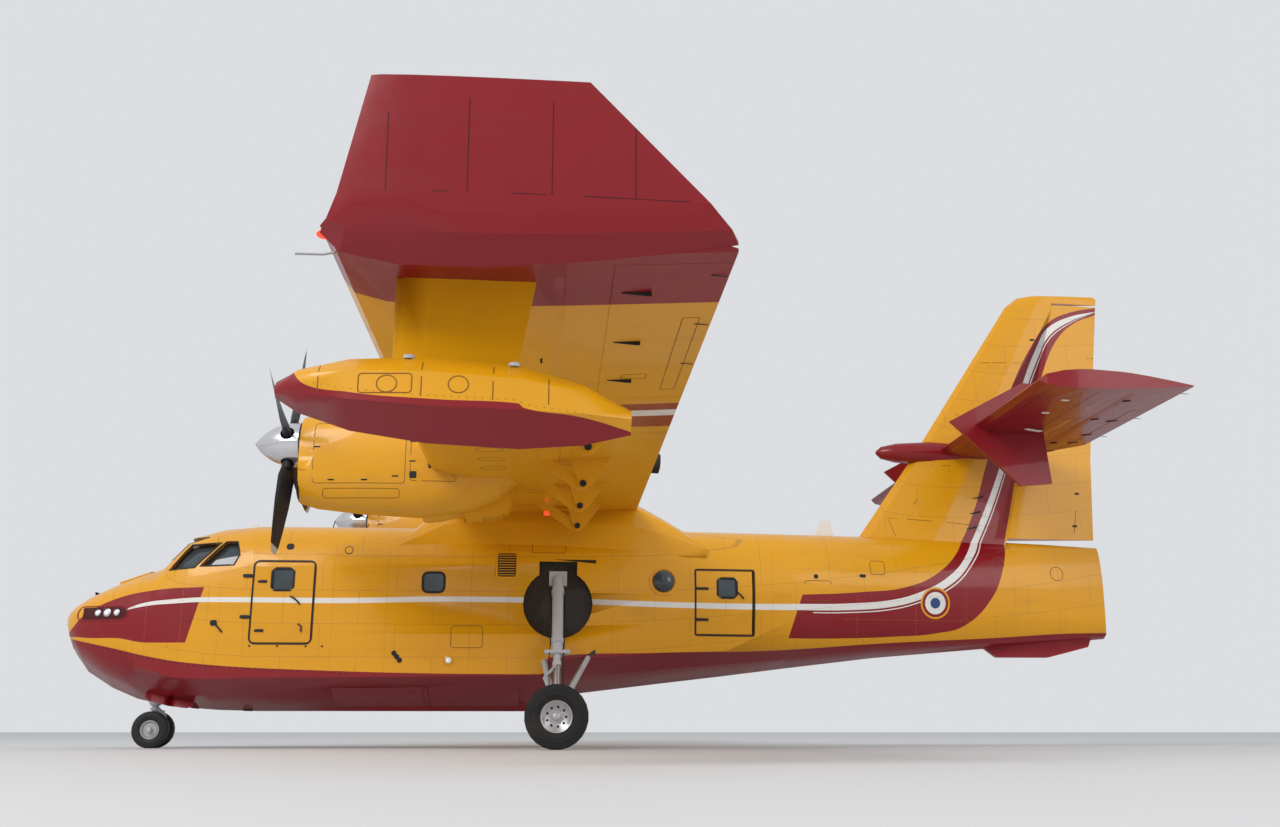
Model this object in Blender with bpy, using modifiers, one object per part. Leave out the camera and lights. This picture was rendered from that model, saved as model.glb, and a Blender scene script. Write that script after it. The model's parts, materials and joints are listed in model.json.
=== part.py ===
"""Twin-turboprop amphibious flying boat, water bomber, parked on its wheels.

Metres. +X is the nose, +Y is the port side, +Z is up, and z = 0 is the ground.
The origin is at the middle of the length, on the centre plane.
"""
import math

import bmesh
import bpy
from mathutils import Matrix, Vector

# Overall sizes
LENGTH = 19.82
NOSE_X = LENGTH / 2
TAIL_X = -LENGTH / 2
SPAN = 28.63
HEIGHT = 8.98
GAP = 0.0003
MOVE_GAP = 0.006
SWING_GAP = 0.012
REAR_SWING_GAP = 0.026

# Hull and cabin
FLOOR_Z = 1.70
STEP_X = 1.30
BOW_X = 8.46
CABIN_FRONT_X = 5.20
CABIN_REAR_X = -3.14
HULL_END_X = -9.45
WALL = 0.09
TAIL_WALL = 0.05
ROOF_SPLIT_Z = 3.30
CROWN_Z = 3.98

# Wing
CHORD = 3.54
WING_LE_X = 3.19
WING_Z = 4.35
WING_THICKNESS = 0.17
WING_CAMBER = 0.03
WING_TIP_Y = 13.95
FLAP_Y = (1.45, 9.10)
FLAP_HINGE = (0.74, 3.86)
FLAP_NOSE_RADIUS = 0.50
AILERON_Y = (9.16, 13.70)
AILERON_HINGE_X = 0.62
FLOAT_Y = 13.30

# Engines and propellers
ENGINE_Y = 3.85
THRUST_Z = 4.755
PROP_X = 5.42
PROP_RADIUS = 1.985
SPINNER_TIP_X = 5.98
NACELLE_FRONT_X = 5.20

# Tail
FIN_ROOT_Z = 3.80
FIN_TOP_Z = HEIGHT
FIN_THICKNESS = 0.11
RUDDER_FOOT = (-7.72, 4.02)
RUDDER_HEAD = (-8.98, 8.80)
TAILPLANE_Z = 5.66
TAILPLANE_HALF_SPAN = 10.97 / 2
TAILPLANE_LE_X = -6.40
TAILPLANE_CHORD = 2.62
TAILPLANE_THICKNESS = 0.12
ELEVATOR_HINGE_X = -8.05
ELEVATOR_NOSE_RADIUS = 0.125
FINLET_Y = 2.30

# Landing gear
MAIN_WHEEL_X = 1.08
MAIN_WHEEL_Y = 2.655
MAIN_WHEEL_RADIUS = 0.525
MAIN_WHEEL_WIDTH = 0.30
WHEELBASE = 7.23
NOSE_WHEEL_X = MAIN_WHEEL_X + WHEELBASE
NOSE_WHEEL_RADIUS = 0.32
NOSE_WHEEL_WIDTH = 0.18
NOSE_WHEEL_Y = 0.17

# Doors and hatches
FRONT_DOOR_X = (5.40, 6.43)
FRONT_DOOR_Z = (1.80, 3.20)
REAR_DOOR_X = (-2.45, -1.42)
REAR_DOOR_Z = (2.00, 3.12)
DROP_DOOR_X = ((1.75, 3.35), (3.45, 5.05))
DROP_DOOR_Y = (0.22, 0.96)

# Colours, as the photograph shows them
YELLOW = (0.90, 0.52, 0.03)
RED = (0.55, 0.02, 0.03)
SILVER = (0.45, 0.47, 0.50)
DARK = (0.03, 0.03, 0.035)
GREY = (0.35, 0.36, 0.38)
GLASS = (0.10, 0.16, 0.20)


def clear_scene():
    for thing in list(bpy.data.objects):
        bpy.data.objects.remove(thing)


def new_collection(name):
    collection = bpy.data.collections.new(name)
    bpy.context.scene.collection.children.link(collection)
    return collection


clear_scene()
PARTS = new_collection("flying_boat")
CUTTERS = new_collection("cutters")


def material(name, colour, roughness=0.4, metallic=0.0):
    made = bpy.data.materials.get(name) or bpy.data.materials.new(name)
    made.use_nodes = True
    shader = made.node_tree.nodes["Principled BSDF"]
    shader.inputs["Base Color"].default_value = (*colour, 1.0)
    shader.inputs["Roughness"].default_value = roughness
    shader.inputs["Metallic"].default_value = metallic
    return made


# Meshes and modifiers
def add_object(name, bm, collection=None):
    """Turn a bmesh into an object; a cutter unless a collection is given."""
    bmesh.ops.recalc_face_normals(bm, faces=bm.faces)
    mesh = bpy.data.meshes.new(name)
    bm.to_mesh(mesh)
    bm.free()
    made = bpy.data.objects.new(name, mesh)
    (collection or CUTTERS).objects.link(made)
    if collection is None:
        made.hide_render = True
        made.display_type = "WIRE"
    return made


def part(made, name, colour, roughness=0.4, metallic=0.0):
    """Move a finished shape to the parts and give it its name and material."""
    made.name = name
    made.hide_render = False
    made.display_type = "TEXTURED"
    for home in list(made.users_collection):
        home.objects.unlink(made)
    PARTS.objects.link(made)
    made.data.materials.clear()
    made.data.materials.append(material(name + "_finish", colour, roughness, metallic))
    return made


def boolean(target, other, operation):
    modifier = target.modifiers.new(other.name, "BOOLEAN")
    modifier.operation = operation
    modifier.solver = "EXACT"
    modifier.object = other
    return target


def cut(target, *others):
    for other in others:
        boolean(target, other, "DIFFERENCE")
    return target


def keep(target, other):
    return boolean(target, other, "INTERSECT")


def join(target, *others):
    for other in others:
        boolean(target, other, "UNION")
    return target


def box(name, x, y, z):
    bm = bmesh.new()
    bmesh.ops.create_cube(bm, size=1.0)
    size = Vector((x[1] - x[0], y[1] - y[0], z[1] - z[0]))
    centre = Vector(((x[0] + x[1]) / 2, (y[0] + y[1]) / 2, (z[0] + z[1]) / 2))
    for vert in bm.verts:
        vert.co = Vector(a * b for a, b in zip(vert.co, size)) + centre
    return add_object(name, bm)


def rod(name, start, end, radius, end_radius=None, segments=16):
    """A round bar or cone from one point to another."""
    start = Vector(start)
    end = Vector(end)
    along = end - start
    bm = bmesh.new()
    bmesh.ops.create_cone(bm, cap_ends=True, segments=segments, radius1=radius,
                          radius2=end_radius or radius, depth=along.length)
    turn = along.to_track_quat("Z", "Y").to_matrix().to_4x4()
    bmesh.ops.transform(bm, matrix=Matrix.Translation((start + end) / 2) @ turn,
                        verts=bm.verts)
    return add_object(name, bm)


def loft(name, rings):
    """A closed skin over rings of equal count, with flat ends."""
    bm = bmesh.new()
    rows = [[bm.verts.new(point) for point in ring] for ring in rings]
    count = len(rows[0])
    for near, far in zip(rows, rows[1:]):
        for i in range(count):
            j = (i + 1) % count
            bm.faces.new((near[i], near[j], far[j]))
            bm.faces.new((near[i], far[j], far[i]))
    bm.faces.new(rows[0])
    bm.faces.new(rows[-1])
    return add_object(name, bm)


def slab(name, outline, axis, low, high):
    """A flat outline carried along one axis, from low to high."""
    def place(u, v, w):
        return {"x": (w, u, v), "y": (u, w, v), "z": (u, v, w)}[axis]
    return loft(name, [[place(u, v, w) for u, v in outline] for w in (low, high)])


def turned(name, profile, centre, axis, segments=32, start=0.0):
    """A profile of (radius, height), outer side from top to bottom, turned about an axis."""
    mesh = bpy.data.meshes.new(name)
    edges = [(i, i + 1) for i in range(len(profile) - 1)]
    if profile[0][0] > 0.0:
        edges.append((len(profile) - 1, 0))
    mesh.from_pydata([(radius, 0.0, height) for radius, height in profile], edges, [])
    made = bpy.data.objects.new(name, mesh)
    CUTTERS.objects.link(made)
    made.hide_render = True
    made.display_type = "WIRE"
    screw = made.modifiers.new("turn", "SCREW")
    screw.axis = "Z"
    screw.steps = segments
    screw.render_steps = segments
    screw.use_merge_vertices = True
    screw.merge_threshold = 0.0001
    turn = Vector(axis).to_track_quat("Z", "Y").to_matrix().to_4x4()
    made.matrix_world = Matrix.Translation(centre) @ turn @ Matrix.Rotation(start, 4, "Z")
    return made


# Hull: one skin lofted from stations, then divided where the real panels meet
# Each station: x, keel z, chine y, chine z, side y, side z, crown z, crown squareness
STATIONS = (
    (9.91, 2.02, 0.24, 2.10, 0.30, 2.22, 2.42, 2.0),
    (9.80, 1.66, 0.44, 1.96, 0.50, 2.22, 2.52, 2.0),
    (9.55, 1.34, 0.68, 1.79, 0.72, 2.22, 2.68, 2.1),
    (9.10, 1.06, 0.82, 1.56, 0.88, 2.24, 2.90, 2.2),
    (8.65, 0.87, 0.94, 1.42, 1.00, 2.28, 3.07, 2.3),
    (8.22, 0.77, 1.03, 1.33, 1.09, 2.34, 3.22, 2.4),
    (7.74, 0.71, 1.16, 1.20, 1.18, 2.45, 3.78, 2.5),
    (7.20, 0.67, 1.24, 1.17, 1.24, 2.55, 3.92, 2.7),
    (6.50, 0.65, 1.29, 1.19, 1.28, 2.65, CROWN_Z, 2.9),
    (4.50, 0.65, 1.30, 1.21, 1.28, 2.70, CROWN_Z, 3.0),
    (STEP_X + 0.01, 0.65, 1.30, 1.25, 1.28, 2.70, CROWN_Z, 3.0),
    (STEP_X - 0.01, 0.90, 1.28, 1.50, 1.28, 2.70, CROWN_Z, 3.0),
    (-0.80, 1.15, 1.10, 1.65, 1.24, 2.70, CROWN_Z, 2.9),
    (-2.00, 1.29, 0.95, 1.71, 1.17, 2.72, 3.97, 2.7),
    (-3.20, 1.44, 0.80, 1.77, 1.07, 2.75, 3.96, 2.5),
    (-4.90, 1.64, 0.58, 1.86, 0.87, 2.82, 3.94, 2.3),
    (-6.80, 1.80, 0.40, 1.95, 0.60, 2.90, 3.90, 2.1),
    (-8.40, 1.92, 0.26, 2.02, 0.36, 2.92, 3.84, 2.0),
    (HULL_END_X, 2.02, 0.14, 2.10, 0.18, 2.90, 3.78, 2.0),
)
CROWN_STEPS = 7


def hull_ring(station, inset=0.0):
    """The outline of one station, keel to crown and back, set in by a wall."""
    x, keel_z, chine_y, chine_z, side_y, side_z, crown_z, square = station
    half = [
        (0.0, keel_z),
        (chine_y * 0.55, keel_z + (chine_z - keel_z) * 0.47),
        (chine_y, chine_z),
        ((chine_y + side_y) / 2 + 0.01, (chine_z + side_z) / 2),
    ]
    for i in range(CROWN_STEPS):
        angle = i / CROWN_STEPS * math.pi / 2
        half.append((side_y * math.cos(angle) ** (2 / square),
                     side_z + (crown_z - side_z) * math.sin(angle) ** (2 / square)))
    half.append((0.0, crown_z))
    middle_z = (keel_z + crown_z) / 2
    wide = 1 - inset / side_y
    tall = 1 - inset / (crown_z - middle_z)
    half = [(y * wide, middle_z + (z - middle_z) * tall) for y, z in half]
    other = [(-y, z) for y, z in half[-2:0:-1]]
    return [(x, y, z) for y, z in half + other]


def station_at(x):
    """A station between two given ones, by straight proportion."""
    for ahead, behind in zip(STATIONS, STATIONS[1:]):
        if behind[0] <= x <= ahead[0]:
            share = (ahead[0] - x) / (ahead[0] - behind[0])
            return tuple(a + (b - a) * share for a, b in zip(ahead, behind))
    return STATIONS[-1]


def hull_half_width(x, z):
    """Half the width of the hull's outside at a height above the chine."""
    ring = [(y, height) for _, y, height in hull_ring(station_at(x)) if y >= 0]
    for (y0, z0), (y1, z1) in zip(ring, ring[1:]):
        if z0 <= z <= z1:
            return y0 + (y1 - y0) * (z - z0) / (z1 - z0)
    return 0.0


def hull_skin(name, front_x, rear_x, inset=0.0, trim=True):
    """The hull's solid between two distances, from the stations that bracket them."""
    first = max([i for i, s in enumerate(STATIONS) if s[0] >= front_x], default=0)
    last = min([i for i, s in enumerate(STATIONS) if s[0] <= rear_x], default=len(STATIONS) - 1)
    skin = loft(name, [hull_ring(s, inset) for s in STATIONS[first:last + 1]])
    ahead = front_x if front_x < STATIONS[first][0] else NOSE_X
    behind = rear_x if rear_x > STATIONS[last][0] else TAIL_X
    if trim and (ahead < NOSE_X or behind > TAIL_X):
        keep(skin, box(name + "_range", (behind, ahead), (-3, 3), (-1, 6)))
    return skin


def hull_piece(name, front_x, rear_x, y, z):
    """The hull inside a box."""
    return keep(hull_skin(name, front_x, rear_x, trim=False),
                box(name + "_limits", (rear_x, front_x), y, z))


# Hollow spaces inside the hull
WELL_X = (0.40, 1.76)
WELL_DEPTH = 0.34
WELL_INNER_Y = 0.72
WHEEL_WELL_Z = 2.50
WHEEL_WELL_RADIUS = 0.62
LEG_SLOT_X = (0.74, 1.42)
LEG_SLOT_Z = (2.80, 3.26)
NOSE_WELL_X = (7.52, 8.40)
NOSE_WELL_HALF = 0.31
NOSE_WELL_TOP = 1.46


def cabin_space():
    """The cockpit and cabin as one hollow, narrowed beside the wheel wells."""
    space = hull_skin("cabin_space", BOW_X - 0.14, CABIN_REAR_X - 0.05, WALL)
    keep(space, box("cabin_above_floor", (-9, 9), (-2, 2), (FLOOR_Z - 0.05, 5)))
    for side in (-1, 1):
        well = (side * WELL_INNER_Y, side * 2)
        cut(space, box("well_housing", WELL_X, (min(well), max(well)), (0, 5)))
    return space


CABIN_SPACE = cabin_space()
TAIL_SPACE = keep(hull_skin("tail_space", CABIN_REAR_X + 0.05, -8.60, TAIL_WALL),
                  box("tail_above_floor", (-9, 0), (-2, 2), (2.05, 5)))


def wheel_well(side):
    """The round recess that the main wheel folds into, and the leg's slot above it."""
    outer_y = hull_half_width(MAIN_WHEEL_X, WHEEL_WELL_Z)
    inner = side * (outer_y - WELL_DEPTH)
    outer = side * (outer_y + 0.5)
    well = rod("wheel_well", (MAIN_WHEEL_X, inner, WHEEL_WELL_Z),
               (MAIN_WHEEL_X, outer, WHEEL_WELL_Z), WHEEL_WELL_RADIUS, segments=28)
    slot = box("leg_slot", LEG_SLOT_X, (min(inner, outer), max(inner, outer)), LEG_SLOT_Z)
    return join(well, slot)


# Hull bottom, with the pockets that the water falls out of
def drop_door_corner(y, depth):
    """Height of the forebody bottom at a width, raised by a depth."""
    _, keel_z, chine_y, chine_z, *_ = station_at(3.0)
    return keel_z + (chine_z - keel_z) * (y / chine_y) + depth


def drop_door_outline(side, clear_y, low, high):
    """Across the hull: a strip that follows the sloping bottom between two depths."""
    inner = DROP_DOOR_Y[0] - clear_y
    outer = DROP_DOOR_Y[1] + clear_y
    corners = [(inner, low), (outer, low), (outer, high), (inner, high)]
    return [(side * y, drop_door_corner(y, depth)) for y, depth in corners]


DROP_DOOR_THICKNESS = 0.06
POCKET_TOP = 0.42


def hull_bottom():
    solid = hull_piece("hull_bottom", BOW_X - GAP, CABIN_REAR_X, (-2, 2), (0, FLOOR_Z))
    for front_x, rear_x in ((x[1], x[0]) for x in DROP_DOOR_X):
        for side in (-1, 1):
            outline = drop_door_outline(side, MOVE_GAP, -0.3, POCKET_TOP)
            outline = [(y if abs(y) < DROP_DOOR_Y[1] else side * (DROP_DOOR_Y[1] + GAP), z)
                       for y, z in outline]
            cut(solid, slab("tank_pocket", outline, "x", rear_x - MOVE_GAP, front_x + MOVE_GAP))
    cut(solid, box("nose_well", NOSE_WELL_X, (-NOSE_WELL_HALF, NOSE_WELL_HALF),
                   (0.0, NOSE_WELL_TOP)))
    return part(solid, "hull_bottom", RED, 0.35)


def drop_doors():
    """Four doors, each hinged at its outer edge."""
    number = 0
    for rear_x, front_x in DROP_DOOR_X:
        for side in (1, -1):
            number += 1
            skin = hull_skin("drop_door", front_x + 1, rear_x - 1)
            strip = slab("drop_door_strip", drop_door_outline(side, 0, -0.3, DROP_DOOR_THICKNESS),
                         "x", rear_x, front_x)
            part(keep(skin, strip), "drop_door_%d" % number, RED, 0.35)


hull_bottom()
drop_doors()


# Bow, with the mooring hatch on its top
BOW_HATCH_X = (8.52, 9.06)
BOW_HATCH_HALF = 0.27


def bow_section():
    bow = hull_skin("bow_section", NOSE_X, BOW_X)
    locker = box("mooring_locker", (BOW_HATCH_X[0] + 0.05, BOW_HATCH_X[1] + MOVE_GAP),
                 (-BOW_HATCH_HALF - MOVE_GAP, BOW_HATCH_HALF + MOVE_GAP), (2.35, 4.0))
    cut(bow, locker, bow_hatch_space())
    return part(bow, "bow_section", YELLOW, 0.3)


def bow_hatch_lift(x):
    """Height of the underside of the hatch, along the slope of the foredeck."""
    slope = (STATIONS[3][6] - STATIONS[5][6]) / (STATIONS[3][0] - STATIONS[5][0])
    return STATIONS[4][6] + slope * (x - STATIONS[4][0]) - 0.06


def bow_hatch_space():
    clear = [(BOW_HATCH_X[0] - MOVE_GAP, 0.0), (BOW_HATCH_X[1] + MOVE_GAP, 0.0),
             (BOW_HATCH_X[1] + MOVE_GAP, 0.6), (BOW_HATCH_X[0] - MOVE_GAP, 0.6)]
    outline = [(x, bow_hatch_lift(x) + rise) for x, rise in clear]
    return slab("bow_hatch_space", outline, "y", -BOW_HATCH_HALF - MOVE_GAP,
                BOW_HATCH_HALF + MOVE_GAP)


def bow_hatch():
    corners = [(BOW_HATCH_X[0], GAP), (BOW_HATCH_X[1], GAP),
               (BOW_HATCH_X[1], 0.075), (BOW_HATCH_X[0], 0.075)]
    outline = [(x, bow_hatch_lift(x) + rise) for x, rise in corners]
    lid = slab("bow_hatch", outline, "y", -BOW_HATCH_HALF, BOW_HATCH_HALF)
    return part(lid, "bow_hatch", YELLOW, 0.3)


bow_section()
bow_hatch()


# Flight deck, with its windows cut through the wall
WINDSCREEN_Y = (0.05, 0.72)
WINDSCREEN_Z = (3.32, 3.70)
SIDE_PANES = (
    ((7.98, 3.08), (7.52, 3.12), (7.12, 3.56), (7.66, 3.54)),
    ((7.40, 3.14), (6.82, 3.16), (6.74, 3.34), (6.82, 3.58), (7.02, 3.58)),
)


def window_cutters():
    cutters = []
    for side in (-1, 1):
        span = sorted(side * y for y in WINDSCREEN_Y)
        cutters.append(box("windscreen_hole", (7.0, 9.0), span, WINDSCREEN_Z))
        for pane in SIDE_PANES:
            low, high = sorted((side * 0.55, side * 1.6))
            cutters.append(slab("side_pane_hole", pane, "y", low, high))
    return cutters


def door_box(name, x, z, side, edge_gap=0.0, hinge_gap=0.0, free_gap=0.0):
    """The slot or block of a side door, from well inside the wall to outside it."""
    low, high = sorted((side * 0.80, side * 1.6))
    return box(name, (x[0] - free_gap, x[1] + hinge_gap), (low, high),
               (z[0] - edge_gap, z[1] + edge_gap))


def door_window(x, z, size, shift):
    """A window hole through a door, placed from the door's middle."""
    centre_x = (x[0] + x[1]) / 2 + shift[0]
    centre_z = (z[0] + z[1]) / 2 + shift[1]
    return box("door_window", (centre_x - size / 2, centre_x + size / 2), (0.5, 2.0),
               (centre_z - size / 2, centre_z + size / 2))


ROOF_HATCH_X = (5.95, 6.55)
ROOF_HATCH_Y = (-0.86, -0.26)


def roof_hatch_box(name, grow=0.0, hinge_gap=0.0):
    return box(name, (ROOF_HATCH_X[0] - grow, ROOF_HATCH_X[1] + grow),
               (ROOF_HATCH_Y[0] - hinge_gap, ROOF_HATCH_Y[1] + grow), (3.0, 4.5))


def flight_deck():
    deck = hull_piece("flight_deck", BOW_X - GAP, CABIN_FRONT_X + GAP, (-2, 2),
                      (FLOOR_Z + GAP, 5))
    cut(deck, CABIN_SPACE, *window_cutters())
    cut(deck, door_box("front_door_slot", FRONT_DOOR_X, FRONT_DOOR_Z, 1, MOVE_GAP, GAP, SWING_GAP))
    cut(deck, roof_hatch_box("roof_hatch_hole", MOVE_GAP, GAP))
    return part(deck, "flight_deck", YELLOW, 0.3)


def cockpit_glazing():
    """One band of glass behind the window holes, bent round the cockpit."""
    outside = hull_skin("cockpit_glazing", BOW_X - 0.16, 6.60, WALL + GAP)
    inside = hull_skin("glazing_inside", BOW_X - 0.05, 6.50, WALL + 0.022)
    keep(outside, box("glazing_band", (6.62, BOW_X - 0.17), (-2, 2), (3.02, 3.76)))
    return part(cut(outside, inside), "cockpit_glazing", GLASS, 0.05)


def front_door():
    door = hull_skin("front_door", 7.0, 5.0)
    keep(door, door_box("front_door_block", FRONT_DOOR_X, FRONT_DOOR_Z, 1, 0.0))
    hole = door_window(FRONT_DOOR_X, FRONT_DOOR_Z, 0.36, (0.02, 0.40))
    cut(door, CABIN_SPACE, hole)
    part(door, "front_door", YELLOW, 0.3)
    pane = hull_skin("front_door_pane", 7.0, 5.0, 0.02)
    keep(pane, door_window(FRONT_DOOR_X, FRONT_DOOR_Z, 0.36 - 2 * GAP, (0.02, 0.40)))
    cut(pane, hull_skin("front_pane_inside", 7.1, 4.9, 0.045))
    part(pane, "front_door_pane", GLASS, 0.05)


flight_deck()
cockpit_glazing()
front_door()


def roof_hatch():
    lid = hull_skin("roof_hatch", 7.0, 5.0)
    keep(lid, roof_hatch_box("roof_hatch_block"))
    cut(lid, CABIN_SPACE)
    return part(lid, "roof_hatch", YELLOW, 0.3)


roof_hatch()


# Cabin: two side walls and a roof, and the tail behind them
BUBBLE_X = -0.82
BUBBLE_Z = 2.92
BUBBLE_RADIUS = 0.20


def cabin_wall(side, name):
    y = (0.6, 2.0) if side > 0 else (-2.0, -0.6)
    wall = hull_piece(name, CABIN_FRONT_X, CABIN_REAR_X, y, (FLOOR_Z + GAP, ROOF_SPLIT_Z - GAP))
    cut(wall, CABIN_SPACE, wheel_well(side))
    low, high = sorted((side * 0.8, side * 2.0))
    cut(wall, rod("bubble_hole", (BUBBLE_X, low, BUBBLE_Z), (BUBBLE_X, high, BUBBLE_Z),
                  BUBBLE_RADIUS + GAP))
    if side > 0:
        cut(wall, door_box("rear_door_slot", REAR_DOOR_X, REAR_DOOR_Z, 1, MOVE_GAP, GAP, REAR_SWING_GAP))
    return part(wall, name, YELLOW, 0.3)


def bubble_window(side, name):
    """A domed pane that stands out of its round hole."""
    wall_y = hull_half_width(BUBBLE_X, BUBBLE_Z)
    depth = 0.10
    rim = [(0.0, depth)]
    for i in range(1, 6):
        angle = i / 5 * math.pi / 2
        rim.append((BUBBLE_RADIUS * math.sin(angle), depth * math.cos(angle)))
    rim += [(BUBBLE_RADIUS, -0.05), (BUBBLE_RADIUS - 0.02, -0.05), (BUBBLE_RADIUS - 0.02, 0.0),
            (0.0, 0.07)]
    dome = turned(name, rim, (BUBBLE_X, side * (wall_y + 0.005), BUBBLE_Z), (0, side, 0), 16)
    return part(dome, name, GLASS, 0.05)


def rear_door():
    door = hull_skin("rear_door", -1.0, -3.0)
    keep(door, door_box("rear_door_block", REAR_DOOR_X, REAR_DOOR_Z, 1, 0.0))
    cut(door, CABIN_SPACE, door_window(REAR_DOOR_X, REAR_DOOR_Z, 0.34, (-0.05, 0.26)))
    part(door, "rear_door", YELLOW, 0.3)
    pane = hull_skin("rear_door_pane", -1.0, -3.0, 0.02)
    keep(pane, door_window(REAR_DOOR_X, REAR_DOOR_Z, 0.34 - 2 * GAP, (-0.05, 0.26)))
    cut(pane, hull_skin("rear_pane_inside", -0.9, -3.1, 0.045))
    part(pane, "rear_door_pane", GLASS, 0.05)


def cabin_roof():
    roof = hull_piece("cabin_roof", CABIN_FRONT_X, CABIN_REAR_X, (-2, 2), (ROOF_SPLIT_Z, 5))
    return part(cut(roof, CABIN_SPACE), "cabin_roof", YELLOW, 0.3)


def tail_section():
    """The hull aft of the cabin, open at its front bulkhead, with a skeg below."""
    tail = hull_skin("tail_section", CABIN_REAR_X - GAP, HULL_END_X)
    skeg = slab("skeg", [(-6.9, 1.95), (-7.3, 1.66), (-8.3, 1.66), (-9.1, 1.86), (-9.2, 2.1)],
                "y", -0.07, 0.07)
    join(tail, skeg)
    return part(cut(tail, TAIL_SPACE), "tail_section", YELLOW, 0.3)


for hand, label in ((1, "port"), (-1, "starboard")):
    cabin_wall(hand, "cabin_%s_wall" % label)
    bubble_window(hand, "bubble_window_" + label)
rear_door()
cabin_roof()
tail_section()


# Wing sections
SECTION_STEPS = 9


def thickness_at(share, thickness):
    """Half the thickness of the section at a share of its chord, over the chord."""
    return 5 * thickness * (0.2969 * math.sqrt(share) - 0.1260 * share - 0.3516 * share ** 2
                            + 0.2843 * share ** 3 - 0.0981 * share ** 4)


def camber_at(share, camber):
    peak = 0.4
    reach = peak if share < peak else 1 - peak
    return camber * (1 - ((share - peak) / reach) ** 2)


def section(chord, thickness, camber=0.0, steps=SECTION_STEPS, grow=0.0):
    """Points (distance aft, height) round a wing section, tail over the top to tail."""
    upper = []
    lower = []
    for i in range(steps + 1):
        share = (1 - math.cos(math.pi * i / steps)) / 2
        half = thickness_at(share, thickness) * chord + grow
        middle = camber_at(share, camber) * chord
        upper.append((share * chord, middle + half))
        lower.append((share * chord, middle - half))
    nose = [(-grow, 0.0)]
    return upper[::-1][:-1] + nose + lower[1:]


WING_INCIDENCE = math.radians(2.0)


def wing_outline(grow=0.0):
    tilt = math.tan(WING_INCIDENCE)
    points = section(CHORD, WING_THICKNESS, WING_CAMBER, grow=grow)
    middle = CHORD / 2
    return [(WING_LE_X - aft, WING_Z + up - (aft - middle) * tilt) for aft, up in points]


def wing_middle_z(x):
    """Height of the wing's mean line at a distance along the hull."""
    aft = WING_LE_X - x
    return (WING_Z + camber_at(aft / CHORD, WING_CAMBER) * CHORD
            - (aft - CHORD / 2) * math.tan(WING_INCIDENCE))


def wing_half_depth(x):
    return thickness_at((WING_LE_X - x) / CHORD, WING_THICKNESS) * CHORD


def surface_region(hinge, radius, grow=0.0, reach=4.0):
    """Everything behind a hinge, with a round nose about it."""
    radius += grow
    arc = []
    for i in range(12):
        angle = -math.pi / 2 + math.pi * i / 12
        arc.append((hinge[0] + radius * math.cos(angle), hinge[1] + radius * math.sin(angle)))
    arc.append((hinge[0] + grow, hinge[1] + radius))
    rear = hinge[0] - reach
    return arc + [(hinge[0] + grow, hinge[1] + reach), (rear, hinge[1] + reach), (rear, arc[0][1])]


AILERON_HINGE = (AILERON_HINGE_X, wing_middle_z(AILERON_HINGE_X))
AILERON_NOSE_RADIUS = wing_half_depth(AILERON_HINGE_X) * 1.09
BRACKET_Y = (1.66, 3.72, 5.62, 8.10)
BRACKET_THICKNESS = 0.06


def flap_track(y, name):
    """The fixed half of a flap bracket, from under the wing to the flap's pivot."""
    pivot_x, pivot_z = FLAP_HINGE
    outline = [(1.62, 4.30), (1.24, 4.30), (1.20, 4.20), (pivot_x + 0.14, pivot_z + 0.14),
               (pivot_x - 0.07, pivot_z + 0.02), (pivot_x - 0.03, pivot_z - 0.10),
               (pivot_x + 0.08, pivot_z - 0.12)]
    return slab(name, outline, "y", y - BRACKET_THICKNESS, y - GAP)


def wing():
    body = slab("wing", wing_outline(), "y", -WING_TIP_Y, WING_TIP_Y)
    for side in (-1, 1):
        for span, hinge, radius in ((FLAP_Y, FLAP_HINGE, FLAP_NOSE_RADIUS),
                                    (AILERON_Y, AILERON_HINGE, AILERON_NOSE_RADIUS)):
            low, high = sorted((side * span[0], side * span[1]))
            region = surface_region(hinge, radius, MOVE_GAP)
            cut(body, slab("wing_cove", region, "y", low, high))
        for y in BRACKET_Y:
            join(body, flap_track(side * y, "flap_track"))
    return part(body, "wing", YELLOW, 0.3)


def flap(side, name):
    low, high = sorted((side * (FLAP_Y[0] + MOVE_GAP), side * (FLAP_Y[1] - MOVE_GAP)))
    body = slab(name, wing_outline(), "y", low, high)
    keep(body, slab("flap_region", surface_region(FLAP_HINGE, FLAP_NOSE_RADIUS), "y",
                    low - 1, high + 1))
    pivot_x, pivot_z = FLAP_HINGE
    outline = [(pivot_x + 0.22, 4.27), (0.30, 4.27), (pivot_x - 0.12, pivot_z - 0.03),
               (pivot_x - 0.02, pivot_z - 0.09), (pivot_x + 0.08, pivot_z - 0.05)]
    for y in BRACKET_Y:
        join(body, slab("flap_arm", outline, "y", side * y, side * y + BRACKET_THICKNESS))
    return part(body, name, YELLOW, 0.3)


def aileron(side, name):
    low, high = sorted((side * (AILERON_Y[0] + MOVE_GAP), side * (AILERON_Y[1] - MOVE_GAP)))
    body = slab(name, wing_outline(), "y", low, high)
    keep(body, slab("aileron_region", surface_region(AILERON_HINGE, AILERON_NOSE_RADIUS), "y",
                    low - 1, high + 1))
    for end, way in ((low, -1), (high, 1)):
        join(body, rod("aileron_pin", (AILERON_HINGE[0], end - way * 0.05, AILERON_HINGE[1]),
                       (AILERON_HINGE[0], end + way * (MOVE_GAP - GAP), AILERON_HINGE[1]),
                       0.03, segments=8))
    return part(body, name, YELLOW, 0.3)


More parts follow.
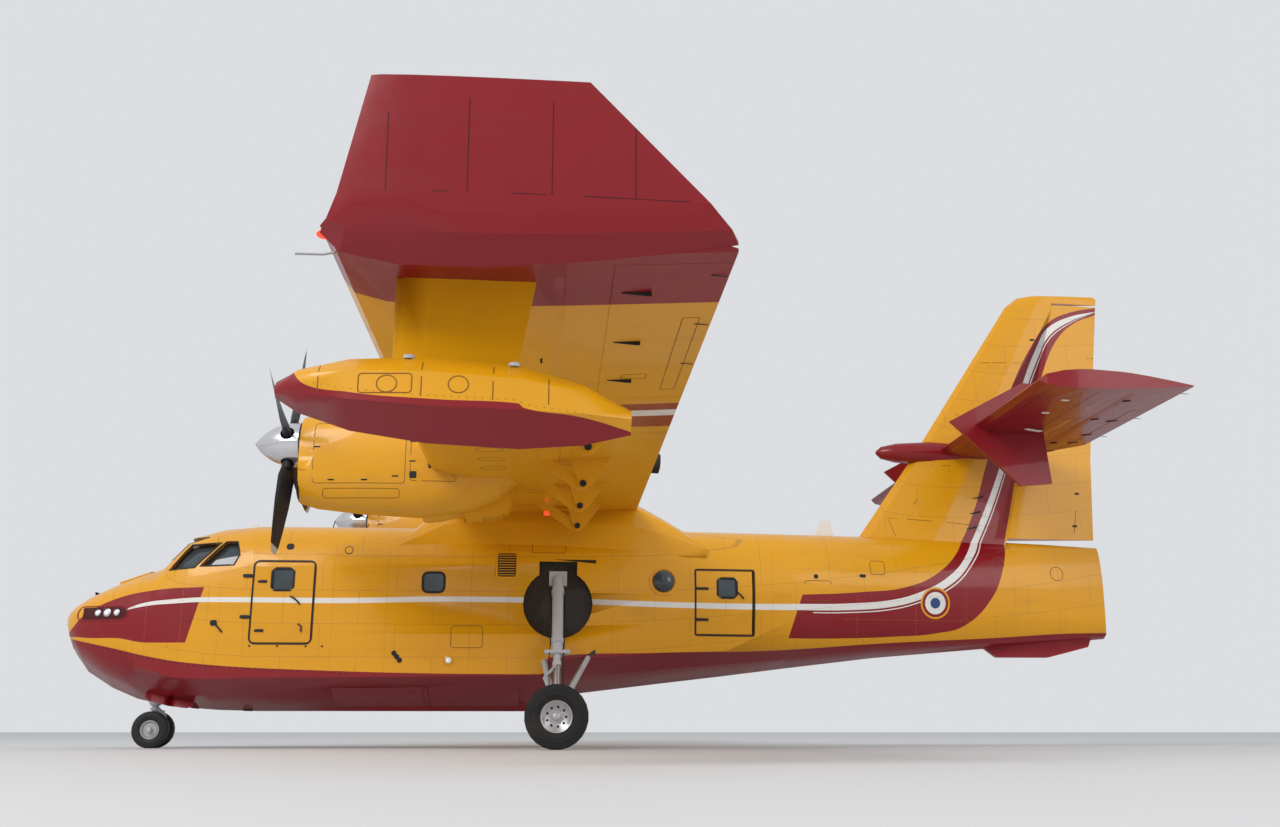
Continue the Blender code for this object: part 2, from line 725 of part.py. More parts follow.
# Each ring of a winglet: y, z, leading edge x, chord, thickness, lean from level in degrees
WINGLET_RINGS = (
    (WING_TIP_Y + GAP, 4.35, WING_LE_X, CHORD, 0.16, 0),
    (WING_TIP_Y + 0.13, 4.42, 3.12, 3.40, 0.10, 38),
    (WING_TIP_Y + 0.21, 4.62, 3.03, 3.12, 0.07, 72),
    (SPAN / 2 - 0.03, 5.64, 2.78, 1.84, 0.05, 80),
)


def winglet(side, name):
    """An upswept plate on the wing's end, leaning outwards."""
    rings = []
    for y, z, front_x, chord, thickness, lean in WINGLET_RINGS:
        turn = math.radians(lean)
        rings.append([(front_x - aft, side * (y - up * math.sin(turn)), z + up * math.cos(turn))
                      for aft, up in section(chord, thickness, steps=7)])
    return part(loft(name, rings), name, RED, 0.3)


# Each float station: x, keel z, half width, chine z, deck z
FLOAT_STATIONS = (
    (3.60, 3.08, 0.05, 3.12, 3.22),
    (3.40, 2.95, 0.20, 3.08, 3.34),
    (2.95, 2.80, 0.34, 3.00, 3.42),
    (2.30, 2.70, 0.39, 2.94, 3.44),
    (1.50, 2.66, 0.37, 2.92, 3.38),
    (0.95, 2.70, 0.26, 2.92, 3.24),
    (0.53, 2.80, 0.10, 2.92, 3.02),
)


def float_ring(station):
    x, keel_z, wide, chine_z, deck_z = station
    half = [(0, keel_z), (wide, chine_z), (wide * 0.96, (chine_z * 0.4 + deck_z * 0.6)),
            (wide * 0.62, deck_z - 0.04), (0, deck_z)]
    return [(x, y, z) for y, z in half + [(-y, z) for y, z in half[-2:0:-1]]]


def wing_float(side, name):
    """A wing float and the pylon that carries it under the wing."""
    body = loft(name, [[(x, y + side * FLOAT_Y, z) for x, y, z in float_ring(station)]
                       for station in FLOAT_STATIONS])
    rings = [[(front_x - aft, side * FLOAT_Y + up, z)
              for aft, up in section(chord, 0.13, steps=6)]
             for z, front_x, chord in ((3.30, 2.62, 1.08), (4.40, 2.62, 1.28))]
    join(body, loft("pylon", rings))
    cut(body, slab("wing_above_pylon", wing_outline(GAP), "y", -SPAN, SPAN))
    return part(body, name, YELLOW, 0.3)


wing()
for hand, label in ((1, "port"), (-1, "starboard")):
    flap(hand, "flap_" + label)
    aileron(hand, "aileron_" + label)
    winglet(hand, "winglet_" + label)
    wing_float(hand, "float_" + label)


# Saddle between the cabin roof and the wing
# Each station: x, height of its top
SADDLE_STATIONS = (
    (4.02, 3.62), (3.55, 4.02), (3.16, 4.38), (2.70, 4.52), (0.60, 4.52), (-0.30, 4.42),
    (-0.85, 4.12), (-1.62, 3.66),
)
SADDLE_FOOT_Z = 3.38


def wing_saddle():
    rings = []
    for x, top_z in SADDLE_STATIONS:
        rise = (top_z - SADDLE_FOOT_Z) / (4.52 - SADDLE_FOOT_Z)
        half = [(0.0, SADDLE_FOOT_Z), (1.14, SADDLE_FOOT_Z),
                (1.17 - 0.10 * rise, SADDLE_FOOT_Z + (top_z - SADDLE_FOOT_Z) * 0.55),
                (1.02 - 0.10 * rise, top_z - 0.08), (0.80, top_z), (0.0, top_z + 0.02)]
        rings.append([(x, y, z) for y, z in half + [(-y, z) for y, z in half[-2:0:-1]]])
    body = loft("wing_saddle", rings)
    cut(body, hull_skin("hull_under_saddle", 6.0, CABIN_REAR_X, -GAP))
    cut(body, slab("wing_in_saddle", wing_outline(GAP), "y", -3, 3))
    return part(body, "wing_saddle", YELLOW, 0.3)


wing_saddle()


# Engines: a cowling round the wing's leading edge, an engine block, a propeller
# Each nacelle station: x, half width, top z, bottom z, squareness
NACELLE_STATIONS = (
    (NACELLE_FRONT_X, 0.43, 5.20, 3.80, 2.2),
    (4.92, 0.50, 5.28, 3.72, 2.4),
    (4.20, 0.54, 5.33, 3.64, 2.6),
    (3.30, 0.55, 5.33, 3.60, 2.7),
    (2.50, 0.54, 5.27, 3.70, 2.6),
    (2.05, 0.51, 5.19, 3.90, 2.5),
    (1.68, 0.47, 5.09, 4.26, 2.4),
    (0.80, 0.26, 4.78, 4.34, 2.0),
)
NACELLE_WALL = 0.07
ENGINE_FLOOR_Z = 4.33
ENGINE_X = (3.40, 4.90)
ENGINE_SIZE = (0.64, 0.66)
GEARBOX_FRONT_X = NACELLE_FRONT_X - 0.06


def nacelle_ring(station, side, inset=0.0, count=20):
    x, wide, top_z, bottom_z, square = station
    middle_z = (top_z + bottom_z) / 2
    ring = []
    for i in range(count):
        angle = math.tau * i / count
        c = math.cos(angle)
        s = math.sin(angle)
        y = math.copysign(abs(c) ** (2 / square), c) * (wide - inset)
        z = math.copysign(abs(s) ** (2 / square), s) * ((top_z - bottom_z) / 2 - inset)
        ring.append((x, side * ENGINE_Y + y, middle_z + z))
    return ring


def nacelle(side, name):
    """A cowling with an oil-cooler intake in its chin and a hollow for the engine."""
    body = loft(name, [nacelle_ring(s, side) for s in NACELLE_STATIONS])
    y = side * ENGINE_Y
    bay = [(s[0] + (0.2 if i == 0 else 0.0),) + s[1:] for i, s in enumerate(NACELLE_STATIONS[:4])]
    cut(body, loft("engine_bay", [nacelle_ring(s, side, NACELLE_WALL) for s in bay]))
    deck = box("chin_deck", (3.40, NACELLE_FRONT_X - 0.02), (y - 0.50, y + 0.50),
               (ENGINE_FLOOR_Z - 0.06, ENGINE_FLOOR_Z))
    front = nacelle_ring(NACELLE_STATIONS[0], side, 0.01)
    keep_in = loft("front_plate_limits", [front, [(x - 0.05, a, b) for x, a, b in front]])
    ring_plate = keep(box("front_plate", (5.0, 5.4), (y - 1, y + 1), (ENGINE_FLOOR_Z - 0.06, 6.0)), keep_in)
    cut(ring_plate, rod("shaft_hole", (4.8, y, THRUST_Z), (5.5, y, THRUST_Z), 0.30))
    join(body, keep(deck, loft("deck_limits", [nacelle_ring(s, side, 0.01) for s in bay])),
         ring_plate)
    cut(body, slab("wing_in_nacelle", wing_outline(GAP), "y", -SPAN, SPAN))
    return part(body, name, YELLOW, 0.3)


def engine(side, name):
    """A plain block at the engine's place, with its gearbox at the front."""
    y = side * ENGINE_Y
    wide, tall = ENGINE_SIZE
    block = box(name, ENGINE_X, (y - wide / 2, y + wide / 2),
                (ENGINE_FLOOR_Z + GAP, ENGINE_FLOOR_Z + tall))
    join(block, rod("gearbox", (ENGINE_X[1] - 0.1, y, THRUST_Z), (GEARBOX_FRONT_X, y, THRUST_Z),
                    0.24, segments=20))
    return part(block, name, GREY, 0.5, 0.6)


BLADE_COUNT = 4
HUB_RADIUS = 0.24
# Each blade station: share of the radius, chord, thickness, twist from the disc in degrees
BLADE_STATIONS = (
    (0.10, 0.14, 0.60, 60), (0.20, 0.20, 0.34, 50), (0.32, 0.31, 0.16, 42),
    (0.55, 0.34, 0.10, 30), (0.78, 0.30, 0.07, 22), (0.93, 0.24, 0.06, 18), (1.00, 0.14, 0.05, 16),
)


def blade(side, number):
    rings = []
    for share, chord, thickness, twist in BLADE_STATIONS:
        turn = math.radians(twist)
        ring = []
        for aft, up in section(chord, thickness, steps=4):
            along = chord * 0.45 - aft
            ring.append((along * math.sin(turn) + up * math.cos(turn),
                         -along * math.cos(turn) + up * math.sin(turn), share * PROP_RADIUS))
        rings.append(ring)
    made = loft("blade", rings)
    spin = Matrix.Rotation(math.radians(22 + number * 360 / BLADE_COUNT), 4, "X")
    made.matrix_world = Matrix.Translation((PROP_X, side * ENGINE_Y, THRUST_Z)) @ spin
    return made


def propeller(side, name):
    y = side * ENGINE_Y
    hub = turned(name, [(0.0, 0.16), (HUB_RADIUS, 0.16), (HUB_RADIUS, -0.16), (0.0, -0.16)],
                 (PROP_X, y, THRUST_Z), (1, 0, 0), 24)
    join(hub, *(blade(side, number) for number in range(BLADE_COUNT)))
    shaft = rod("shaft", (PROP_X - 0.10, y, THRUST_Z),
                (GEARBOX_FRONT_X + GAP, y, THRUST_Z), 0.12, segments=16)
    join(hub, shaft)
    return part(hub, name, DARK, 0.4)


def spinner(side, name):
    """A pointed shell over the hub, notched where the blades come out."""
    y = side * ENGINE_Y
    base_x = 5.235
    length = SPINNER_TIP_X - base_x
    radius = 0.36
    outer = [(0.0, length)]
    for i in range(1, 8):
        share = i / 7
        outer.append((radius * math.sin(share * math.pi / 2) ** 0.8,
                      length * (1 - share) ** 0.75 if i < 7 else 0.0))
    inner = [(radius - 0.03, 0.0), (radius - 0.035, 0.10), (HUB_RADIUS + GAP, 0.14)]
    inner += [(HUB_RADIUS + GAP, PROP_X + 0.16 + GAP - base_x), (0.0, PROP_X + 0.16 + GAP - base_x)]
    shell = turned(name, outer + inner, (base_x, y, THRUST_Z), (1, 0, 0), 24)
    for number in range(BLADE_COUNT):
        angle = math.radians(22 + number * 360 / BLADE_COUNT)
        way = Vector((0, -math.sin(angle), math.cos(angle)))
        centre = Vector((PROP_X, y, THRUST_Z))
        cut(shell, rod("blade_root_hole", centre + way * 0.1, centre + way * 0.8, 0.115,
                       segments=12))
    return part(shell, name, SILVER, 0.25, 0.7)


for hand, label in ((1, "port"), (-1, "starboard")):
    nacelle(hand, "nacelle_" + label)
    engine(hand, "engine_" + label)
    propeller(hand, "propeller_" + label)
    spinner(hand, "spinner_" + label)


# Fin and rudder
# Each fin station: z, leading edge x, trailing edge x
FIN_STATIONS = (
    (FIN_ROOT_Z - 0.02, -4.62, -9.40), (5.60, -5.92, -9.50), (8.72, -7.98, -9.88),
    (8.92, -8.24, TAIL_X), (FIN_TOP_Z, -8.52, TAIL_X + 0.05),
)
RUDDER_Z = (3.93, 8.80)


def fin_skin(name):
    rings = []
    for z, front_x, rear_x in FIN_STATIONS:
        thickness = FIN_THICKNESS * (0.5 if z == FIN_TOP_Z else 1.0)
        rings.append([(front_x - aft, up, z)
                      for aft, up in section(front_x - rear_x, thickness, steps=8)])
    return loft(name, rings)


def fin_half_depth(x, z):
    """Half the thickness of the fin at a point of its side view."""
    for low, high in zip(FIN_STATIONS, FIN_STATIONS[1:]):
        if low[0] <= z <= high[0]:
            share = (z - low[0]) / (high[0] - low[0])
            front_x = low[1] + (high[1] - low[1]) * share
            rear_x = low[2] + (high[2] - low[2]) * share
            chord = front_x - rear_x
            return thickness_at((front_x - x) / chord, FIN_THICKNESS) * chord
    return 0.0


# The slanted hinge lifts the rudder's top as it turns
RUDDER_RISE = 0.036
RUDDER_PIN_RADIUS = 0.012
RUDDER_PIN_GAP = 0.0035


def rudder_region(grow):
    """All that lies behind the slanted hinge line, with a round nose about it."""
    foot = Vector((RUDDER_FOOT[0], 0, RUDDER_FOOT[1]))
    head = Vector((RUDDER_HEAD[0], 0, RUDDER_HEAD[1]))
    along = (head - foot).normalized()
    radii = [fin_half_depth(x, z) * 1.08 + grow for x, z in (RUDDER_FOOT, RUDDER_HEAD)]
    slope = (radii[1] - radii[0]) / (head - foot).length
    nose = rod("rudder_nose", foot - along * 0.3, head + along * 0.3,
               radii[0] - slope * 0.3, radii[1] + slope * 0.3, 28)
    low = foot - along
    high = head + along
    behind = slab("behind_hinge", [(low.x, low.z), (high.x, high.z), (-12, high.z), (-12, low.z)],
                  "y", -1, 1)
    return join(nose, behind)


def fin():
    body = fin_skin("fin")
    low, high = RUDDER_Z
    cut(body, keep(rudder_region(MOVE_GAP), box("rudder_room", (-12, -6), (-2, 2),
                                                (low - 2, high + MOVE_GAP))))
    cut(body, hull_skin("hull_under_fin", -3.5, HULL_END_X, -GAP))
    return part(body, "fin", YELLOW, 0.3)


def rudder():
    low, high = RUDDER_Z
    top_z = high - RUDDER_RISE
    body = keep(fin_skin("rudder"), rudder_region(0.0))
    keep(body, box("rudder_span", (-12, -6), (-2, 2), (low, top_z)))
    slope = (RUDDER_HEAD[0] - RUDDER_FOOT[0]) / (RUDDER_HEAD[1] - RUDDER_FOOT[1])
    ends = [(RUDDER_HEAD[0] + slope * (z - RUDDER_HEAD[1]), 0, z)
            for z in (top_z - 0.05, high + MOVE_GAP - RUDDER_PIN_GAP)]
    join(body, rod("rudder_pin", *ends, RUDDER_PIN_RADIUS, segments=12))
    return part(body, "rudder", YELLOW, 0.3)


fin()
rudder()


# Bullet at the crossing of fin and tailplane
# Each bullet station: x, half width, half height
BULLET_STATIONS = (
    (-5.15, 0.03, 0.03), (-5.25, 0.13, 0.12), (-5.55, 0.22, 0.19), (-6.20, 0.26, 0.23),
    (-7.20, 0.26, 0.23), (-7.92, 0.20, 0.17),
)


def bullet_skin(name, grow=0.0, count=16):
    rings = []
    for x, wide, tall in BULLET_STATIONS:
        rings.append([(x, (wide + grow) * math.cos(math.tau * i / count),
                       TAILPLANE_Z - 0.03 + (tall + grow) * math.sin(math.tau * i / count))
                      for i in range(count)])
    return loft(name, rings)


def fin_clearance():
    """The fin's own skin, a touch thicker, for what is fitted against it."""
    skin = fin_skin("fin_clearance")
    skin.scale = (1.0, 1.004, 1.0)
    return skin


def tail_bullet():
    body = cut(bullet_skin("tail_bullet"), fin_clearance())
    cut(body, rudder_region(0.03))
    return part(body, "tail_bullet", RED, 0.3)


# Tailplane and elevators
TAILPLANE_PLAN = ((-6.30, 0.0), (-6.30, 5.30), (-6.52, 5.42), (-7.00, TAILPLANE_HALF_SPAN),
                  (-7.90, 5.40), (-9.10, 5.14), (-9.10, 0.0))
ELEVATOR_Y = (0.42, 5.02)
ELEVATOR_HINGE = (ELEVATOR_HINGE_X, TAILPLANE_Z)
ELEVATOR_INNER_EDGE = ((-7.5, 0.42), (-8.10, 0.42), (-9.20, 0.98), (-9.20, 6.0), (-7.5, 6.0))
TAIL_ARM_THICKNESS = 0.05


def tailplane_outline():
    points = section(TAILPLANE_CHORD, TAILPLANE_THICKNESS, steps=8)
    return [(TAILPLANE_LE_X - aft, TAILPLANE_Z + up) for aft, up in points]


def elevator_radius():
    share = (TAILPLANE_LE_X - ELEVATOR_HINGE_X) / TAILPLANE_CHORD
    return thickness_at(share, TAILPLANE_THICKNESS) * TAILPLANE_CHORD * 1.08


def tailplane_half(side, name):
    y = sorted((side * 0.02, side * 5.6))
    body = slab(name, tailplane_outline(), "y", *y)
    keep(body, slab("tailplane_plan", [(x, side * w) for x, w in TAILPLANE_PLAN], "z", 5, 7))
    cove = surface_region(ELEVATOR_HINGE, elevator_radius(), MOVE_GAP)
    cut(body, slab("elevator_cove", cove, "y", *sorted((0.0, side * ELEVATOR_Y[1]))))
    hinge_x, hinge_z = ELEVATOR_HINGE
    arm = [(hinge_x + 0.40, hinge_z + 0.05), (hinge_x + 0.40, hinge_z - 0.05),
           (hinge_x - 0.03, hinge_z - 0.04), (hinge_x - 0.03, hinge_z + 0.04)]
    inner = side * (ELEVATOR_Y[0] - GAP)
    join(body, slab("tail_arm", arm, "y", *sorted((inner, inner - side * TAIL_ARM_THICKNESS))))
    cut(body, fin_clearance(), bullet_skin("bullet_in_tailplane", GAP))
    cut(body, rudder_region(0.03))
    return part(body, name, RED, 0.3)


def elevator(side, name):
    outer = ELEVATOR_Y[1] - MOVE_GAP
    body = slab(name, tailplane_outline(), "y", *sorted((side * ELEVATOR_Y[0], side * outer)))
    keep(body, slab("elevator_region", surface_region(ELEVATOR_HINGE, elevator_radius()), "y",
                    -7, 7))
    keep(body, slab("elevator_plan", [(x, side * w) for x, w in ELEVATOR_INNER_EDGE], "z", 5, 7))
    hinge_x, hinge_z = ELEVATOR_HINGE
    join(body, rod("elevator_pin", (hinge_x, side * (outer - 0.05), hinge_z),
                   (hinge_x, side * (outer + MOVE_GAP - GAP), hinge_z), 0.03, segments=8))
    return part(body, name, RED, 0.3)


FINLET_OUTLINES = (
    ((-5.92, 5.72), (-7.14, 4.55), (-7.72, 4.60), (-7.62, TAILPLANE_Z + 0.02)),
    ((-5.92, 5.72), (-7.62, TAILPLANE_Z - 0.02), (-7.70, 6.42), (-7.30, 6.46)),
)


def finlet(side, name):
    """A swept plate above and below the tailplane, joined ahead of its leading edge."""
    y = side * FINLET_Y
    below, above = FINLET_OUTLINES
    body = slab(name, below, "y", y - 0.035, y + 0.035)
    join(body, slab("finlet_above", above, "y", y - 0.035, y + 0.035))
    grown = section(TAILPLANE_CHORD, TAILPLANE_THICKNESS, steps=8, grow=GAP)
    outline = [(TAILPLANE_LE_X - aft, TAILPLANE_Z + up) for aft, up in grown]
    cut(body, slab("tailplane_in_finlet", outline, "y", y - 1, y + 1))
    return part(body, name, RED, 0.3)


tail_bullet()
for hand, label in ((1, "port"), (-1, "starboard")):
    tailplane_half(hand, "tailplane_" + label)
    elevator(hand, "elevator_" + label)
    finlet(hand, "finlet_" + label)


# Main landing gear, lowered: a long strut from the well and two arms from the hull's side
TYRE_SEGMENTS = 24


def tyre_profile(radius, width, rim):
    flat = 1 / math.cos(math.pi / TYRE_SEGMENTS)
    half = width / 2
    outer = radius * flat
    return [(rim, half * 0.62), (rim + (outer - rim) * 0.30, half * 0.94),
            (rim + (outer - rim) * 0.62, half), (outer * 0.965, half * 0.80),
            (outer, half * 0.52), (outer, -half * 0.52), (outer * 0.965, -half * 0.80),
            (rim + (outer - rim) * 0.62, -half), (rim + (outer - rim) * 0.30, -half * 0.94),
            (rim, -half * 0.62)]


MAIN_RIM = 0.265


def main_wheel(side, label):
    centre = (MAIN_WHEEL_X, side * MAIN_WHEEL_Y, MAIN_WHEEL_RADIUS)
    start = math.pi / TYRE_SEGMENTS
    tyre = turned("main_tyre_" + label,
                  tyre_profile(MAIN_WHEEL_RADIUS, MAIN_WHEEL_WIDTH, MAIN_RIM), centre,
                  (0, side, 0), TYRE_SEGMENTS, start)
    part(tyre, "main_tyre_" + label, DARK, 0.8)
    rim = MAIN_RIM - GAP
    profile = [(0.0, 0.03), (0.07, 0.0), (0.18, 0.0), (rim - 0.02, 0.09), (rim, 0.09),
               (rim, -0.09), (0.19, -0.05), (0.10, -0.05), (0.10, -0.13), (0.0, -0.13)]
    hub = turned("main_hub_" + label, profile, centre, (0, side, 0), TYRE_SEGMENTS, start)
    part(hub, "main_hub_" + label, SILVER, 0.4, 0.5)


LEG_TOP = (1.07, 2.98)
LEG_FOOT_Y = 2.38
ARM_REACH = 0.42


def main_leg(side, name):
    """Fixed in its lowered place; its motion into the well isn't a joint here."""
    def at(x, y, z):
        return (x, side * y, z)
    top_y, top_z = LEG_TOP
    wheel_z = MAIN_WHEEL_RADIUS
    inner_face = MAIN_WHEEL_Y - 0.13
    body = rod(name, at(MAIN_WHEEL_X, inner_face - GAP, wheel_z),
               at(MAIN_WHEEL_X, LEG_FOOT_Y - 0.10, wheel_z), 0.075, segments=20)
    join(body, rod("strut_low", at(MAIN_WHEEL_X, LEG_FOOT_Y, wheel_z),
                   at(MAIN_WHEEL_X, 1.75, 1.74), 0.065))
    join(body, rod("strut_high", at(MAIN_WHEEL_X, 1.85, 1.56), at(MAIN_WHEEL_X, top_y, top_z), 0.10))
    well_back = hull_half_width(MAIN_WHEEL_X, WHEEL_WELL_Z) - WELL_DEPTH
    pad_y = sorted((side * (well_back + GAP), side * (well_back + 0.16)))
    join(body, box("leg_pad", (MAIN_WHEEL_X - 0.16, MAIN_WHEEL_X + 0.16), pad_y,
                   (top_z - 0.14, top_z + 0.12)))
    for way in (-1, 1):
        foot_x = MAIN_WHEEL_X - 0.16 + way * ARM_REACH
        join(body, rod("arm", at(MAIN_WHEEL_X, LEG_FOOT_Y - 0.02, wheel_z + 0.04),
                       at(foot_x, 1.10, 1.63), 0.055, segments=12))
    lower_hull = keep(hull_skin("hull_at_arms", 3.0, -1.0, -GAP),
                      box("below_well", (-2, 4), (-2, 2), (0.0, 1.86)))
    cut(body, lower_hull)
    return part(body, name, GREY, 0.45, 0.3)


for hand, label in ((1, "port"), (-1, "starboard")):
    main_wheel(hand, label)
    main_leg(hand, "main_leg_" + label)


# Nose gear: a fixed leg in its well, a fork that steers, and twin wheels on one axle
STEER_Z = 0.74
NOSE_LEG_RADIUS = 0.085
NOSE_AXLE_RADIUS = 0.045


def nose_leg():
    body = rod("nose_leg", (NOSE_WHEEL_X, 0, STEER_Z), (NOSE_WHEEL_X, 0, NOSE_WELL_TOP - GAP),
               NOSE_LEG_RADIUS, segments=20)
    join(body, rod("drag_brace", (NOSE_WHEEL_X - 0.02, 0, 0.98), (7.66, 0, 1.38), 0.045,
                   segments=12),
         box("brace_foot", (7.56, 7.76), (-0.09, 0.09), (1.34, NOSE_WELL_TOP - GAP)))
    return part(body, "nose_leg", GREY, 0.45, 0.3)


def nose_fork():
    wheel_z = NOSE_WHEEL_RADIUS
    body = rod("nose_fork", (NOSE_WHEEL_X, 0, wheel_z + NOSE_AXLE_RADIUS + GAP),
               (NOSE_WHEEL_X, 0, STEER_Z - GAP), 0.06, segments=20)
    join(body, box("torque_link", (NOSE_WHEEL_X - 0.17, NOSE_WHEEL_X - 0.03), (-0.03, 0.03),
                   (0.46, 0.66)))
    return part(body, "nose_fork", GREY, 0.45, 0.3)


def nose_wheels():
    """Both wheels and the axle that joins them, turned as one."""
    rim = 0.15
    half = NOSE_WHEEL_Y + 0.10
    tyre = tyre_profile(NOSE_WHEEL_RADIUS, NOSE_WHEEL_WIDTH, rim)
    profile = [(0.0, half), (NOSE_AXLE_RADIUS, half)]
    for middle in (NOSE_WHEEL_Y, -NOSE_WHEEL_Y):
        profile += [(NOSE_AXLE_RADIUS, middle + 0.03), (rim - 0.02, middle + 0.03)]
        profile += [(radius, middle + height) for radius, height in tyre]
        profile += [(rim - 0.02, middle - 0.03), (NOSE_AXLE_RADIUS, middle - 0.03)]
    profile += [(NOSE_AXLE_RADIUS, -half), (0.0, -half)]
    wheels = turned("nose_wheels", profile, (NOSE_WHEEL_X, 0, NOSE_WHEEL_RADIUS), (0, 1, 0),
                    TYRE_SEGMENTS, math.pi / TYRE_SEGMENTS)
    return part(wheels, "nose_wheels", DARK, 0.8)


nose_leg()
nose_fork()
nose_wheels()


# Inside the flight deck: two seats and the instrument panel
SEAT_X = 7.00
SEAT_Y = 0.46


def seat(side, name):
    y = (side * SEAT_Y - 0.24, side * SEAT_Y + 0.24)
    body = box(name, (SEAT_X - 0.24, SEAT_X + 0.26), y, (FLOOR_Z + 0.36, FLOOR_Z + 0.50))
    back = slab("seat_back", [(SEAT_X - 0.20, FLOOR_Z + 0.40), (SEAT_X - 0.32, FLOOR_Z + 1.18),
                              (SEAT_X - 0.44, FLOOR_Z + 1.18), (SEAT_X - 0.34, FLOOR_Z + 0.40)],
                "y", *y)
    foot = box("seat_foot", (SEAT_X - 0.16, SEAT_X + 0.16), (y[0] + 0.12, y[1] - 0.12),
               (FLOOR_Z + GAP, FLOOR_Z + 0.40))
    return part(join(body, back, foot), name, DARK, 0.7)


def instrument_panel():
    outline = [(7.62, FLOOR_Z + GAP), (8.20, FLOOR_Z + GAP), (8.20, 2.92), (7.98, 3.00),
               (7.86, 2.96), (7.78, 2.42), (7.62, 2.36)]
    body = slab("instrument_panel", outline, "y", -1.2, 1.2)
    keep(body, hull_skin("panel_limits", BOW_X - 0.1, 7.0, WALL + GAP))
    cut(body, box("leg_room_port", (7.5, 8.12), (0.22, 1.3), (0, 2.36)),
        box("leg_room_starboard", (7.5, 8.12), (-1.3, -0.22), (0, 2.36)))
    return part(body, "instrument_panel", DARK, 0.6)


seat(1, "pilot_seat")
seat(-1, "copilot_seat")
instrument_panel()
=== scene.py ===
# Looks of the flying boat: paint, windows, fittings, floor, light and camera
import json
import math

import bmesh
import bpy
from mathutils import Matrix, Vector
from mathutils.bvhtree import BVHTree


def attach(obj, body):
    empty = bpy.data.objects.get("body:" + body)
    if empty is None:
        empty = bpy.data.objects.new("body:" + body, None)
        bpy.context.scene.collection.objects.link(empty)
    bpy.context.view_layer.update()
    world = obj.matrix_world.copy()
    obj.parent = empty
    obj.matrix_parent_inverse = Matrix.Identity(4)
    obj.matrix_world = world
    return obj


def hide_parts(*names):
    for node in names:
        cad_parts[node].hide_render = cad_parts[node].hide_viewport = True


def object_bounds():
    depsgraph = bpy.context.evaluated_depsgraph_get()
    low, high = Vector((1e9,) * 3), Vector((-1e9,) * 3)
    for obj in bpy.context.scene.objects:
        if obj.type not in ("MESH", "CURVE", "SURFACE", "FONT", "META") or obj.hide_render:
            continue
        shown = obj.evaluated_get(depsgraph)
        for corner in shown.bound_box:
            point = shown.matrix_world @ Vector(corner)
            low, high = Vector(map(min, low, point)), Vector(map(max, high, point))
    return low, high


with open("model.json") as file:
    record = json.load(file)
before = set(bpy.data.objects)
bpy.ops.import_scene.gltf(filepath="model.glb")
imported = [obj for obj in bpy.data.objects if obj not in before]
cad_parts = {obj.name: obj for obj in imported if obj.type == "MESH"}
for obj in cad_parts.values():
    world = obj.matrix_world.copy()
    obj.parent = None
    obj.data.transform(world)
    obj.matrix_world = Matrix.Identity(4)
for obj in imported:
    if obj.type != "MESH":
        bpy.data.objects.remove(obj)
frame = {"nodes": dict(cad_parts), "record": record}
LOW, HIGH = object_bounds()
SIDES = (("port", 1), ("starboard", -1))

# Paint and metal colours, linear
YELLOW = (0.720, 0.325, 0.004)
CRIMSON = (0.235, 0.003, 0.008)
STRIPE_WHITE = (0.760, 0.740, 0.700)
ROUNDEL_BLUE = (0.020, 0.060, 0.200)
DARK = (0.012, 0.012, 0.014)
DIRT = (0.090, 0.065, 0.040)


# Shader building blocks
class Nodes:
    """Adds and links nodes in one material or group tree."""

    def __init__(self, tree):
        self.tree = tree

    def add(self, kind, **values):
        node = self.tree.nodes.new(kind)
        for key, value in values.items():
            setattr(node, key, value)
        return node

    def feed(self, socket, value):
        if hasattr(value, "is_linked"):
            self.tree.links.new(value, socket)
        else:
            socket.default_value = value

    def math(self, operation, *values):
        node = self.add("ShaderNodeMath", operation=operation)
        for socket, value in zip(node.inputs, values):
            self.feed(socket, value)
        return node.outputs[0]

    def mix(self, factor, first, second):
        node = self.add("ShaderNodeMix", data_type="RGBA")
        self.feed(node.inputs["Factor"], factor)
        for socket, value in ((node.inputs[6], first), (node.inputs[7], second)):
            self.feed(socket, (*value, 1.0) if isinstance(value, tuple) else value)
        return node.outputs[2]

    def limits(self, value, start, end, low=0.0, high=1.0):
        node = self.add("ShaderNodeMapRange")
        for socket, given in zip(node.inputs, (value, start, end, low, high)):
            self.feed(socket, given)
        return node.outputs[0]

    def noise(self, vector, scale, detail=4.0, roughness=0.55):
        node = self.add("ShaderNodeTexNoise")
        self.feed(node.inputs["Vector"], vector)
        self.feed(node.inputs["Scale"], scale)
        self.feed(node.inputs["Detail"], detail)
        self.feed(node.inputs["Roughness"], roughness)
        return node.outputs["Fac"]

    def follow(self, x, points, span):
        """A height that follows points along the hull, smooth between them."""
        (x_low, x_high), (z_low, z_high) = span
        share = self.limits(x, x_low, x_high)
        node = self.add("ShaderNodeFloatCurve")
        curve = node.mapping.curves[0]
        spots = sorted(((px - x_low) / (x_high - x_low), (pz - z_low) / (z_high - z_low))
                       for px, pz in points)
        curve.points[0].location = spots[0]
        curve.points[1].location = spots[-1]
        for spot in spots[1:-1]:
            curve.points.new(*spot)
        for point in curve.points:
            point.handle_type = "AUTO_CLAMPED"
        node.mapping.update()
        self.feed(node.inputs["Value"], share)
        return self.limits(node.outputs[0], 0.0, 1.0, z_low, z_high)

    def below(self, value, edge):
        return self.math("LESS_THAN", value, edge)

    def above(self, value, edge):
        return self.math("GREATER_THAN", value, edge)

    def both(self, *masks):
        total = masks[0]
        for mask in masks[1:]:
            total = self.math("MULTIPLY", total, mask)
        return total


